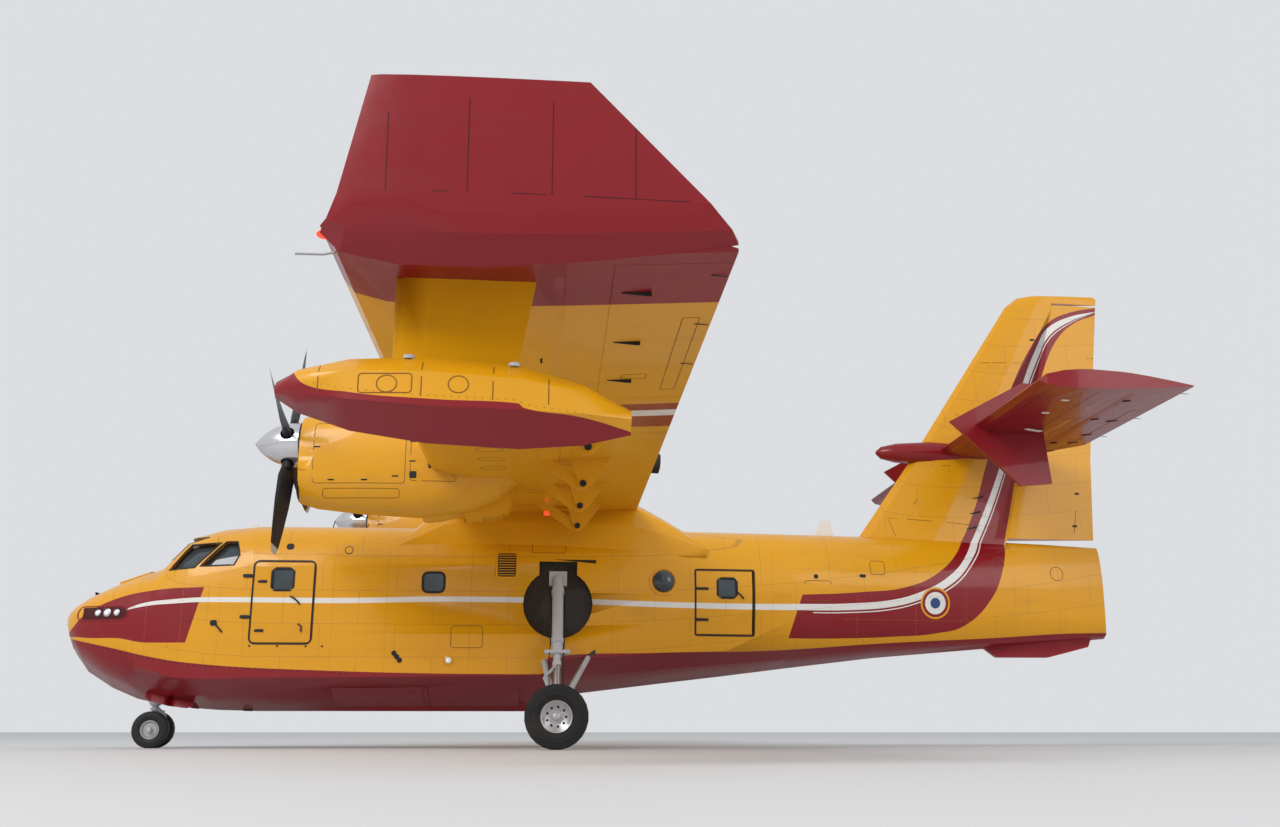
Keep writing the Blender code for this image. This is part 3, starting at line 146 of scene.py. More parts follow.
def new_group(name, inputs, outputs):
    """A shader node group, its node builder, and the inputs by name."""
    group = bpy.data.node_groups.new(name, "ShaderNodeTree")
    for way, sockets in (("INPUT", inputs), ("OUTPUT", outputs)):
        for label, kind, value in sockets:
            socket = group.interface.new_socket(label, in_out=way, socket_type="NodeSocket" + kind)
            if value is not None:
                socket.default_value = value
    nodes = Nodes(group)
    start = nodes.add("NodeGroupInput")
    end = nodes.add("NodeGroupOutput")
    return group, nodes, start.outputs, end.inputs


def separate(nodes, vector):
    node = nodes.add("ShaderNodeSeparateXYZ")
    nodes.feed(node.inputs[0], vector)
    return node.outputs


# Roundel rings, from the outside in: share of the radius and colour
ROUNDEL = ((1.0, YELLOW), (0.88, CRIMSON), (0.70, STRIPE_WHITE), (0.34, ROUNDEL_BLUE))


def paint_roundel(nodes, colour, across, along, centre, radius, limit):
    """Rings painted flat on a surface; limit is the side of the aircraft they are on."""
    da = nodes.math("SUBTRACT", along, centre[0])
    db = nodes.math("SUBTRACT", across, centre[1])
    square = nodes.math("ADD", nodes.math("MULTIPLY", da, da), nodes.math("MULTIPLY", db, db))
    distance = nodes.math("SQRT", square)
    for share, ring in ROUNDEL:
        mask = nodes.both(nodes.below(distance, radius * share), limit)
        colour = nodes.mix(mask, colour, ring)
    return colour


# Edges of the hull's paint: distance along the hull and height
BELLY = ((9.91, 1.93), (9.60, 1.86), (8.90, 1.715), (8.20, 1.56), (7.50, 1.45), (5.10, 1.317),
         (1.31, 1.266), (1.29, 1.545), (-0.80, 1.66), (-2.80, 1.72), (-5.00, 1.88),
         (-6.80, 1.98), (-9.45, 2.12), (-9.91, 2.12))
STRIPE = ((8.95, 2.276), (8.38, 2.455), (7.80, 2.51), (7.24, 2.536), (5.19, 2.53), (2.84, 2.57),
          (1.42, 2.56), (0.50, 2.54), (-0.56, 2.51), (-2.33, 2.49), (-3.38, 2.50), (-4.26, 2.52),
          (-5.13, 2.60), (-5.60, 2.72), (-6.27, 3.04), (-6.81, 3.62), (-7.10, 4.14),
          (-7.57, 5.20), (-8.05, 6.60), (-8.55, 7.75), (-8.82, 8.19), (-9.30, 8.48), (-9.91, 8.68))
STRIPE_HALF = ((9.91, 0.0), (8.95, 0.0), (8.38, 0.030), (7.24, 0.042), (-2.33, 0.052),
               (-4.26, 0.060), (-5.60, 0.066), (-6.27, 0.085), (-6.81, 0.115), (-7.57, 0.15),
               (-8.55, 0.125), (-8.82, 0.09), (-9.30, 0.05), (-9.91, 0.0))
BAND_TOP = ((-3.00, 2.70), (-3.39, 2.72), (-4.53, 2.79), (-5.40, 2.90), (-6.02, 3.16),
            (-6.56, 3.67), (-6.97, 4.43), (-7.27, 5.30), (-7.90, 6.90), (-8.50, 7.98),
            (-8.85, 8.40), (-9.30, 8.62), (-9.91, 8.76))
BAND_FOOT = ((-3.00, 1.94), (-4.01, 1.95), (-5.18, 2.00), (-6.00, 2.07), (-6.57, 2.22),
             (-7.10, 2.71), (-7.40, 3.33), (-7.66, 4.27), (-7.92, 5.26), (-8.30, 6.40),
             (-8.72, 7.55), (-8.95, 7.98), (-9.30, 8.34), (-9.91, 8.62))
BOW_TOP = ((7.20, 2.765), (8.32, 2.70), (8.95, 2.56), (9.40, 2.336), (9.75, 2.05), (9.91, 1.90))
BOW_FOOT = ((7.20, 1.79), (8.32, 1.80), (8.80, 1.88), (9.30, 1.89), (9.75, 1.93), (9.91, 1.94))
ALONG = (-9.95, 9.95)
HEIGHTS = (0.0, 9.0)
ROUNDEL_HULL = (-5.98, 2.62, 0.29)
ROUNDEL_WING = (1.75, -11.88, 0.70)
WING_FOOT_Z = 4.10
WING_BANDS = ((7.60, 8.83, CRIMSON), (8.20, 8.50, STRIPE_WHITE), (12.65, 20.0, CRIMSON))


def hull_paint():
    """Yellow hull with a crimson belly, bow and tail bands and one white stripe."""
    group, n, given, out = new_group("hull_paint", (("Position", "Vector", None),),
                                     (("Colour", "Color", None),))
    x, y, z = separate(n, given["Position"])
    span = (ALONG, HEIGHTS)
    belly = n.below(z, n.follow(x, BELLY, span))
    tail_edge = n.math("SUBTRACT", -3.14, n.math("MULTIPLY", n.math("SUBTRACT", z, 1.94), 0.32))
    tail = n.both(n.below(x, tail_edge), n.below(z, n.follow(x, BAND_TOP, ((-9.95, -2.9), HEIGHTS))),
                  n.above(z, n.follow(x, BAND_FOOT, ((-9.95, -2.9), HEIGHTS))))
    bow_edge = n.math("SUBTRACT", 7.55, n.math("MULTIPLY", n.math("SUBTRACT", z, 1.79), 0.26))
    bow_range = ((7.1, 9.95), (1.0, 3.0))
    bow = n.both(n.above(x, bow_edge), n.below(z, n.follow(x, BOW_TOP, bow_range)),
                 n.above(z, n.follow(x, BOW_FOOT, bow_range)))
    middle = n.follow(x, STRIPE, span)
    half = n.follow(x, STRIPE_HALF, (ALONG, (0.0, 0.2)))
    offset = n.math("SUBTRACT", z, middle)
    white = n.below(n.math("ABSOLUTE", offset), half)
    fine_middle = n.math("ADD", offset, n.math("MULTIPLY", half, 1.7))
    fine = n.both(n.below(n.math("ABSOLUTE", fine_middle), n.math("MULTIPLY", half, 0.16)),
                  n.below(x, -3.6))
    forward = n.below(x, 8.95)
    colour = n.mix(n.math("MAXIMUM", tail, bow), YELLOW, CRIMSON)
    colour = n.mix(n.both(n.math("MAXIMUM", white, fine), forward), colour, STRIPE_WHITE)
    colour = n.mix(belly, colour, CRIMSON)
    centre_x, centre_z, radius = ROUNDEL_HULL
    colour = paint_roundel(n, colour, z, x, (centre_x, centre_z), radius, n.above(z, 0.0))
    # Inside the main wheel's recess the hull is painted near black: painted shade in the recess, not its paint.
    inside = n.both(n.above(x, 0.40), n.below(x, 1.76), n.below(n.math("ABSOLUTE", y), 1.225),
                    n.above(z, 1.60), n.below(z, 3.30))
    n.feed(out["Colour"], n.mix(inside, colour, WELL_PAINTED_SHADE))
    return group


def wing_paint():
    """Yellow wing with crimson and white bands across it and crimson tips."""
    group, n, given, out = new_group("wing_paint", (("Position", "Vector", None),),
                                     (("Colour", "Color", None),))
    x, y, z = separate(n, given["Position"])
    away = n.math("ABSOLUTE", y)
    colour = n.mix(0.0, YELLOW, YELLOW)
    skin = n.above(z, WING_FOOT_Z)
    for low, high, band in WING_BANDS:
        mask = n.both(n.above(away, low), n.below(away, high), skin)
        colour = n.mix(mask, colour, band)
    under = n.both(n.below(z, 4.42), n.below(y, -10.0))
    centre_x, centre_y, radius = ROUNDEL_WING
    colour = paint_roundel(n, colour, y, x, (centre_x, centre_y), radius, under)
    n.feed(out["Colour"], colour)
    return group


FLOAT_EDGE = ((0.40, 2.78), (0.60, 2.84), (1.00, 2.90), (1.46, 2.94), (1.50, 2.975), (2.30, 3.00), (2.95, 3.06), (3.30, 3.14),
              (3.45, 3.30), (3.70, 3.60))


# Near-black brown of the main wheel's recess: painted shade.
WELL_PAINTED_SHADE = (0.030, 0.022, 0.012)


def float_paint():
    """Yellow above the chine, crimson below it and at the nose."""
    group, n, given, out = new_group("float_paint", (("Position", "Vector", None),),
                                     (("Colour", "Color", None),))
    x, y, z = separate(n, given["Position"])
    red = n.below(z, n.follow(x, FLOAT_EDGE, ((0.3, 3.8), (2.5, 4.0))))
    n.feed(out["Colour"], n.mix(red, YELLOW, CRIMSON))
    return group


def round_pattern(name, centre, limit, inner, outer, mirrored=False):
    """One colour inside a radius and another outside, about an axis across or along."""
    group, n, given, out = new_group(name, (("Position", "Vector", None),),
                                     (("Colour", "Color", None), ("Inside", "Float", None)))
    x, y, z = separate(n, given["Position"])
    first = n.math("SUBTRACT", n.math("ABSOLUTE", y) if mirrored else x, centre[0])
    second = n.math("SUBTRACT", z, centre[1])
    square = n.math("ADD", n.math("MULTIPLY", first, first), n.math("MULTIPLY", second, second))
    inside = n.below(n.math("SQRT", square), limit)
    n.feed(out["Inside"], inside)
    n.feed(out["Colour"], n.mix(inside, outer, inner))
    return group


def wear_group():
    """Faint grime, streaks and a slightly uneven gloss over any paint."""
    sockets = (("Position", "Vector", None), ("Colour", "Color", None), ("Amount", "Float", 0.3),
               ("Gloss", "Float", 0.35), ("Seams", "Float", 0.0))
    group, n, given, out = new_group("flight_wear", sockets,
                                     (("Colour", "Color", None), ("Roughness", "Float", None),
                                      ("Height", "Float", None)))
    squeeze = n.add("ShaderNodeMapping")
    n.feed(squeeze.inputs["Vector"], given["Position"])
    squeeze.inputs["Scale"].default_value = (0.35, 1.4, 1.6)
    streaks = n.limits(n.noise(squeeze.outputs[0], 2.2, 6.0, 0.62), 0.50, 0.78)
    patches = n.limits(n.noise(given["Position"], 0.9, 5.0, 0.6), 0.42, 0.75)
    dirt = n.math("MULTIPLY", n.math("MULTIPLY", streaks, patches), given["Amount"])
    x, y, z = separate(n, given["Position"])
    sheet = n.add("ShaderNodeCombineXYZ")
    n.feed(sheet.inputs["X"], x)
    n.feed(sheet.inputs["Y"], n.math("ADD", y, z))
    panels = n.add("ShaderNodeTexBrick")
    n.feed(panels.inputs["Vector"], sheet.outputs[0])
    for socket, value in (("Scale", 1.0), ("Mortar Size", 0.006), ("Mortar Smooth", 0.3),
                          ("Brick Width", 1.31), ("Row Height", 0.57)):
        panels.inputs[socket].default_value = value
    seam = n.math("MULTIPLY", panels.outputs["Fac"], given["Seams"])
    colour = n.mix(seam, given["Colour"], DIRT)
    n.feed(out["Colour"], n.mix(dirt, colour, DIRT))
    fine = n.noise(given["Position"], 14.0, 3.0, 0.6)
    rough = n.math("ADD", given["Gloss"], n.math("MULTIPLY", n.math("SUBTRACT", fine, 0.5), 0.16))
    n.feed(out["Roughness"], n.math("ADD", rough, n.math("MULTIPLY", dirt, 0.3)))
    n.feed(out["Height"], n.noise(given["Position"], 1.6, 2.0, 0.5))
    return group


HULL_PAINT = hull_paint()
WING_PAINT = wing_paint()
FLOAT_PAINT = float_paint()
RUBBER_BLACK = (0.016, 0.016, 0.017)
BLADE_BLACK = (0.020, 0.020, 0.022)
NOSE_TYRE = round_pattern("nose_wheel_pattern", (8.31, 0.32), 0.165, (0.42, 0.42, 0.43), RUBBER_BLACK)
BLADE_PAINT = round_pattern("blade_pattern", (3.85, 4.755), 1.86, BLADE_BLACK, (0.55, 0.52, 0.44), True)
WEAR = wear_group()


def use_group(nodes, group, **values):
    node = nodes.add("ShaderNodeGroup", node_tree=group)
    for label, value in values.items():
        nodes.feed(node.inputs[label], (*value, 1.0) if isinstance(value, tuple) else value)
    return node.outputs


def finish_material(name, roughness=0.35, metallic=0.0, coat=0.0):
    material = bpy.data.materials.new(name)
    material.use_nodes = True
    nodes = Nodes(material.node_tree)
    shader = material.node_tree.nodes["Principled BSDF"]
    shader.inputs["Roughness"].default_value = roughness
    shader.inputs["Metallic"].default_value = metallic
    shader.inputs["Coat Weight"].default_value = coat
    shader.inputs["Specular IOR Level"].default_value = 0.32
    position = nodes.add("ShaderNodeTexCoord").outputs["Object"]
    return material, nodes, shader, position


def worn(name, colour, gloss=0.35, amount=0.3, metallic=0.0, coat=0.0, pattern=None, dents=0.0,
         seams=0.0):
    """Paint or metal with the shared wear; a pattern group gives the colour instead."""
    material, n, shader, position = finish_material(name, gloss, metallic, coat)
    if pattern:
        colour = use_group(n, pattern, Position=position)["Colour"]
    out = use_group(n, WEAR, Position=position, Colour=colour, Amount=amount, Gloss=gloss,
                    Seams=seams)
    n.feed(shader.inputs["Base Color"], out["Colour"])
    n.feed(shader.inputs["Roughness"], out["Roughness"])
    if dents:
        bump = n.add("ShaderNodeBump")
        bump.inputs["Strength"].default_value = dents
        bump.inputs["Distance"].default_value = 0.05
        n.feed(bump.inputs["Height"], out["Height"])
        n.feed(shader.inputs["Normal"], bump.outputs[0])
    return material


HULL = worn("hull_paintwork", YELLOW, 0.34, 0.28, coat=0.25, pattern=HULL_PAINT, dents=0.35, seams=0.30)
WING = worn("wing_paintwork", YELLOW, 0.36, 0.32, coat=0.2, pattern=WING_PAINT, dents=0.35)
SKIN = worn("yellow_paint", YELLOW, 0.34, 0.3, coat=0.25, dents=0.3)
RED = worn("crimson_paint", CRIMSON, 0.36, 0.25, coat=0.25, dents=0.3)
# Off-white for the blade antennas, and for a pale strip under the tailplane that is painted light.
WHITE_TRIM_AND_LIGHT = worn("white_trim_and_painted_light", STRIPE_WHITE, 0.4, 0.3)
STEEL = worn("bare_steel", (0.42, 0.42, 0.43), 0.32, 0.3, metallic=0.9)
GEAR = worn("gear_enamel", (0.46, 0.47, 0.48), 0.42, 0.5)
HUB = worn("wheel_hub_metal", (0.50, 0.50, 0.51), 0.38, 0.5, metallic=0.6)
SPINNER = worn("spinner_metal", (0.62, 0.62, 0.64), 0.26, 0.2, metallic=0.85)
BLADE = worn("blade_paint", BLADE_BLACK, 0.42, 0.2, pattern=BLADE_PAINT)
FLOAT = worn("float_paintwork", YELLOW, 0.34, 0.3, coat=0.25, pattern=FLOAT_PAINT, dents=0.3)
RUBBER = worn("tyre_rubber", RUBBER_BLACK, 0.78, 0.5, dents=0.2)
NOSE_WHEEL = worn("nose_wheel_rubber", RUBBER_BLACK, 0.6, 0.5, pattern=NOSE_TYRE)
# Black for real black parts, and painted shade behind the hull vents' louvres and across the ram scoops' mouths.
BLACK = worn("black_trim_and_shade", DARK, 0.55, 0.3)
# Near-black crimson for dark seam lines, and painted shade in the bow's lamp recesses.
DARK_SEAM_AND_SHADE = worn("crimson_seam_and_shade", (0.06, 0.001, 0.003), 0.6, 0.4)
RIVET = worn("rivet_heads", (0.42, 0.19, 0.006), 0.5, 0.5)
DEEP_GLASS = worn("screen_glass", (0.004, 0.008, 0.010), 0.12, 0.1)
SEAM = worn("panel_seam", (0.20, 0.085, 0.004), 0.6, 0.4)
HEATED = worn("heated_steel", (0.16, 0.13, 0.11), 0.42, 0.6, metallic=0.85)
SOOT = worn("sooty_steel", (0.035, 0.030, 0.028), 0.6, 0.4, metallic=0.5)
ENGINE = worn("engine_metal", (0.20, 0.20, 0.21), 0.45, 0.5, metallic=0.7)
FABRIC = worn("seat_fabric", (0.030, 0.036, 0.050), 0.9, 0.3)
PANEL = worn("panel_plastic", (0.020, 0.020, 0.022), 0.6, 0.2)


def window_glass():
    """Dark tinted glass with a faint blue sheen."""
    material, n, shader, position = finish_material("window_glass", 0.06, 0.0, 0.6)
    # Lighter blue blotches in the glass colour are a painted sheen.
    painted_sheen = n.limits(n.noise(position, 1.2, 2.0), 0.3, 0.7)
    n.feed(shader.inputs["Base Color"], n.mix(painted_sheen, (0.020, 0.030, 0.036), (0.055, 0.075, 0.085)))
    return material


def lamp_glass(name, colour, glow):
    material, _, shader, _ = finish_material(name, 0.1, 0.0, 0.5)
    shader.inputs["Base Color"].default_value = (*colour, 1.0)
    shader.inputs["Emission Color"].default_value = (*colour, 1.0)
    shader.inputs["Emission Strength"].default_value = glow
    return material


GLASS = window_glass()
LAMP = lamp_glass("lamp_glass", (0.80, 0.82, 0.85), 0.15)
RED_LAMP = lamp_glass("red_beacon_glass", (0.90, 0.03, 0.01), 2.5)
GREEN_LAMP = lamp_glass("green_light_glass", (0.02, 0.55, 0.12), 0.4)


# Mesh helpers
def finish_piece(name, bm, material, body="airframe", smooth=40.0, merge=0.0):
    """A mesh object at the origin, with normals outward, riding on a CAD body."""
    if merge:
        bmesh.ops.remove_doubles(bm, verts=bm.verts, dist=merge)
    bmesh.ops.recalc_face_normals(bm, faces=bm.faces)
    mesh = bpy.data.meshes.new(name)
    bm.to_mesh(mesh)
    bm.free()
    piece = bpy.data.objects.new(name, mesh)
    bpy.context.collection.objects.link(piece)
    for given in material if isinstance(material, tuple) else (material,):
        mesh.materials.append(given)
    if smooth:
        mesh.polygons.foreach_set("use_smooth", [True] * len(mesh.polygons))
        mesh.set_sharp_from_angle(angle=math.radians(smooth))
    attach(piece, body)
    return piece


def add_box(bm, low, high, turn=None):
    """A box between two corners, turned about its own middle if asked."""
    low, high = Vector(low), Vector(high)
    place = Matrix.Translation((low + high) / 2)
    if turn:
        place = place @ turn
    size = Matrix.Diagonal((*(high - low), 1.0))
    return bmesh.ops.create_cube(bm, size=1.0, matrix=place @ size)["verts"]


def add_rod(bm, start, end, radius, end_radius=None, segments=12):
    start, end = Vector(start), Vector(end)
    axis = end - start
    place = Matrix.Translation((start + end) / 2) @ axis.to_track_quat("Z", "Y").to_matrix().to_4x4()
    bmesh.ops.create_cone(bm, cap_ends=True, segments=segments, radius1=radius,
                          radius2=radius if end_radius is None else end_radius,
                          depth=axis.length, matrix=place)


def add_ball(bm, centre, radius, stretch=(1, 1, 1), segments=12):
    place = Matrix.Translation(Vector(centre)) @ Matrix.Diagonal((*stretch, 1.0))
    bmesh.ops.create_uvsphere(bm, u_segments=segments, v_segments=segments // 2 + 1,
                              radius=radius, matrix=place)


def add_turned(bm, profile, centre, axis, segments=32):
    """A closed profile of (radius, distance along the axis) spun about the axis."""
    centre, axis = Vector(centre), Vector(axis).normalized()
    turn = axis.to_track_quat("Z", "Y").to_matrix()
    rings = []
    for i in range(segments):
        angle = math.tau * i / segments
        way = turn @ Vector((math.cos(angle), math.sin(angle), 0.0))
        rings.append([bm.verts.new(centre + way * radius + axis * reach)
                      for radius, reach in profile])
    count = len(profile)
    for i, ring in enumerate(rings):
        following = rings[(i + 1) % segments]
        for j in range(count):
            k = (j + 1) % count
            if profile[j][0] < 1e-6 and profile[k][0] < 1e-6:
                continue
            bm.faces.new((ring[j], ring[k], following[k], following[j]))
    bmesh.ops.remove_doubles(bm, verts=bm.verts, dist=1e-5)


def add_tube(bm, path, radius, segments=8):
    """A round bar that follows a path of points."""
    path = [Vector(point) for point in path]
    rings = []
    for i, point in enumerate(path):
        way = path[min(i + 1, len(path) - 1)] - path[max(i - 1, 0)]
        turn = way.to_track_quat("Z", "Y").to_matrix()
        rings.append([bm.verts.new(point + turn @ Vector((radius * math.cos(math.tau * j / segments),
                                                          radius * math.sin(math.tau * j / segments), 0)))
                      for j in range(segments)])
    for first, second in zip(rings, rings[1:]):
        for j in range(segments):
            k = (j + 1) % segments
            bm.faces.new((first[j], first[k], second[k], second[j]))
    bm.faces.new(rings[0][::-1])
    bm.faces.new(rings[-1])


def add_prism(bm, outline, depth):
    """A flat outline of points, given thickness along a vector."""
    depth = Vector(depth)
    near = [bm.verts.new(Vector(point)) for point in outline]
    far = [bm.verts.new(Vector(point) + depth) for point in outline]
    bm.faces.new(near[::-1])
    bm.faces.new(far)
    for i in range(len(near)):
        j = (i + 1) % len(near)
        bm.faces.new((near[i], near[j], far[j], far[i]))


def smooth_copy(node, material, angle=32.0):
    """The CAD piece with its loose triangles joined and its curves shaded smooth."""
    source = frame["nodes"][node]
    bm = bmesh.new()
    bm.from_mesh(source.data)
    bmesh.ops.remove_doubles(bm, verts=bm.verts, dist=1e-5)
    bmesh.ops.dissolve_limit(bm, angle_limit=math.radians(0.5), verts=bm.verts, edges=bm.edges)
    body = next(name for name, nodes in BODY_NODES.items() if node in nodes)
    piece = finish_piece(node + "_skin", bm, material, body, angle)
    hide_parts(node)
    return piece


BODY_NODES = frame["record"]["behaviour"]["bodies"]


# Paint on the CAD pieces
def on_both(*stems):
    return [stem + "_" + side for stem in stems for side, _ in SIDES]


FINISHES = (
    (HULL, ["hull_bottom", "bow_section", "bow_hatch", "flight_deck", "front_door", "roof_hatch",
            "cabin_port_wall", "cabin_starboard_wall", "cabin_roof", "rear_door", "tail_section",
            "fin", "rudder"] + ["drop_door_%d" % number for number in (1, 2, 3, 4)]),
    (WING, ["wing"] + on_both("flap", "aileron")),
    (SKIN, ["wing_saddle"] + on_both("nacelle")),
    (RED, ["tail_bullet"] + on_both("winglet", "tailplane", "elevator", "finlet")),
    (GLASS, ["cockpit_glazing", "front_door_pane", "rear_door_pane"] + on_both("bubble_window")),
    (SPINNER, on_both("spinner")),
    (GEAR, ["nose_leg", "nose_fork"] + on_both("main_leg")),
    (HUB, on_both("main_hub")),
    (NOSE_WHEEL, ["nose_wheels"]),
    (RUBBER, on_both("main_tyre")),
    (BLADE, on_both("propeller")),
    (ENGINE, on_both("engine")),
    (FABRIC, ["pilot_seat", "copilot_seat"]),
    (PANEL, ["instrument_panel"]),
    (FLOAT, on_both("float")),
)
for finish, nodes in FINISHES:
    for node in nodes:
        smooth_copy(node, finish)


# Where the hull's skin lies, for pieces that follow it
def skin_tree(nodes):
    corners, faces = [], []
    for node in nodes:
        mesh = frame["nodes"][node].data
        first = len(corners)
        corners.extend(vertex.co.copy() for vertex in mesh.vertices)
        faces.extend([first + i for i in face.vertices] for face in mesh.polygons)
    return BVHTree.FromPolygons(corners, faces)


HULL_NODES = ["hull_bottom", "bow_section", "flight_deck", "front_door", "cabin_port_wall",
              "cabin_starboard_wall", "cabin_roof", "rear_door", "tail_section"]
HULL_TREE = skin_tree(HULL_NODES)
WING_TREE = skin_tree(["wing"] + on_both("flap", "aileron"))
FIN_TREE = skin_tree(["fin", "rudder"])
TAIL_TREE = skin_tree(on_both("tailplane", "elevator"))
NACELLE_TREE = skin_tree(on_both("nacelle"))


def touch(tree, start, way):
    """Where a straight line first meets a skin, and the skin's outward direction there."""
    spot, normal, _, _ = tree.ray_cast(Vector(start), Vector(way))
    if spot is None:
        spot, normal, _, _ = tree.find_nearest(Vector(start))
    if normal.dot(Vector(way)) > 0:
        normal = -normal
    return spot, normal


def on_side(x, z, side, tree=None):
    return touch(tree or HULL_TREE, (x, side * 4.0, z), (0, -side, 0))


def on_top(x, y, tree=None):
    return touch(tree or HULL_TREE, (x, y, 12.0), (0, 0, -1))


def under(x, y, tree=None):
    return touch(tree or HULL_TREE, (x, y, 0.0), (0, 0, 1))


def add_strip(bm, spots, width, height, closed=False, sink=0.004):
    """A flat strip laid along spots on a skin, standing a little proud of it."""
    count = len(spots)
    rings = []
    for i, (spot, normal) in enumerate(spots):
        after = spots[(i + 1) % count if closed else min(i + 1, count - 1)][0]
        before = spots[i - 1 if closed or i else 0][0]
        across = (after - before).cross(normal).normalized() * (width / 2)
        low, high = spot - normal * sink, spot + normal * height
        rings.append([bm.verts.new(point) for point in (low - across, low + across,
                                                        high + across * 0.8, high - across * 0.8)])
    pairs = list(zip(rings, rings[1:])) + ([(rings[-1], rings[0])] if closed else [])
    for first, second in pairs:
        for j in range(4):
            k = (j + 1) % 4
            bm.faces.new((first[j], first[k], second[k], second[j]))
    if not closed:
        bm.faces.new(rings[0][::-1])
        bm.faces.new(rings[-1])


def line(start, end, count):
    return [tuple(a + (b - a) * i / count for a, b in zip(start, end)) for i in range(count + 1)]


def rounded_frame(low, high, corner, steps=4):
    """Corners of a rectangle with rounded corners, in two directions."""
    points = []
    middles = ((high[0] - corner, high[1] - corner, 0), (low[0] + corner, high[1] - corner, 90),
               (low[0] + corner, low[1] + corner, 180), (high[0] - corner, low[1] + corner, 270))
    for a, b, start in middles:
        for i in range(steps + 1):
            angle = math.radians(start + 90 * i / steps)
            points.append((a + corner * math.cos(angle), b + corner * math.sin(angle)))
    return points


def dense(points, step=0.12, closed=True):
    """More points along an outline, so that a strip follows a curved skin."""
    result = []
    ends = list(zip(points, points[1:] + points[:1])) if closed else list(zip(points, points[1:]))
    for a, b in ends:
        count = max(1, int(math.dist(a, b) / step))
        result.extend(line(a, b, count)[:-1])
    return result if closed else result + [points[-1]]


def add_patch(bm, find, low, high, corner, rise, sink=0.03, steps=8):
    """A thin plate with rounded corners that follows a skin; find gives the skin's place."""
    half = ((high[0] - low[0]) / 2, (high[1] - low[1]) / 2)
    centre = (low[0] + half[0], low[1] + half[1])
    upper, lower = [], []
    for i in range(steps + 1):
        for j in range(steps + 1):
            a, b = half[0] * (2 * i / steps - 1), half[1] * (2 * j / steps - 1)
            over = Vector((max(abs(a) - half[0] + corner, 0.0), max(abs(b) - half[1] + corner, 0.0)))
            if over.length > corner:
                pull = over * (1 - corner / over.length)
                a -= math.copysign(pull.x, a)
                b -= math.copysign(pull.y, b)
            spot, normal = find(centre[0] + a, centre[1] + b)
            upper.append(bm.verts.new(spot + normal * rise))
            lower.append(bm.verts.new(spot - normal * sink))
    def at(points, i, j):
        return points[i * (steps + 1) + j]
    for i in range(steps):
        for j in range(steps):
            square = ((i, j), (i + 1, j), (i + 1, j + 1), (i, j + 1))
            bm.faces.new([at(upper, *k) for k in square])
            bm.faces.new([at(lower, *k) for k in square[::-1]])
    rim = ([(i, 0) for i in range(steps)] + [(steps, j) for j in range(steps)]
           + [(i, steps) for i in range(steps, 0, -1)] + [(0, j) for j in range(steps, 0, -1)])
    for k, here in enumerate(rim):
        after = rim[(k + 1) % len(rim)]
        bm.faces.new((at(upper, *here), at(upper, *after), at(lower, *after), at(lower, *here)))


def side_patch(bm, low, high, corner, side, rise, sink=0.03, tree=None):
    """A plate on the hull's side: a window pane, a hatch or a vent."""
    add_patch(bm, lambda x, z: on_side(x, z, side, tree), low, high, corner, rise, sink)


def outline_strip(bm, find, low, high, corner, width, height, step=0.2):
    """A rounded frame laid on a skin."""
    add_strip(bm, [find(a, b) for a, b in dense(rounded_frame(low, high, corner), step)],
              width, height, closed=True)


# Fasteners in rows, by Geometry Nodes
def fastener_tree(name):
    """Puts one small round head on every point of a mesh, upright on its normal."""
    tree = bpy.data.node_groups.new(name, "GeometryNodeTree")
    tree.interface.new_socket("Spots", in_out="INPUT", socket_type="NodeSocketGeometry")
    for label, kind, value in (("Radius", "Float", 0.01), ("Height", "Float", 0.005),
                               ("Sides", "Int", 8)):
        socket = tree.interface.new_socket(label, in_out="INPUT", socket_type="NodeSocket" + kind)
        socket.default_value = value
    tree.interface.new_socket("Finish", in_out="INPUT", socket_type="NodeSocketMaterial")
    tree.interface.new_socket("Heads", in_out="OUTPUT", socket_type="NodeSocketGeometry")
    nodes = Nodes(tree)
    given = nodes.add("NodeGroupInput").outputs
    head = nodes.add("GeometryNodeMeshCylinder", fill_type="NGON")
    for label, source in (("Vertices", "Sides"), ("Radius", "Radius"), ("Depth", "Height")):
        tree.links.new(given[source], head.inputs[label])
    way = nodes.add("GeometryNodeInputNamedAttribute", data_type="FLOAT_VECTOR")
    way.inputs["Name"].default_value = "upright"
    turn = nodes.add("FunctionNodeAlignRotationToVector", axis="Z")
    tree.links.new(way.outputs[0], turn.inputs["Vector"])
    placed = nodes.add("GeometryNodeInstanceOnPoints")
    tree.links.new(given["Spots"], placed.inputs["Points"])
    tree.links.new(head.outputs["Mesh"], placed.inputs["Instance"])
    tree.links.new(turn.outputs["Rotation"], placed.inputs["Rotation"])
    real = nodes.add("GeometryNodeRealizeInstances")
    tree.links.new(placed.outputs[0], real.inputs[0])
    painted = nodes.add("GeometryNodeSetMaterial")
    tree.links.new(real.outputs[0], painted.inputs["Geometry"])
    tree.links.new(given["Finish"], painted.inputs["Material"])
    end = nodes.add("NodeGroupOutput")
    tree.links.new(painted.outputs[0], end.inputs["Heads"])
    return tree


FASTENERS = fastener_tree("fastener_rows")


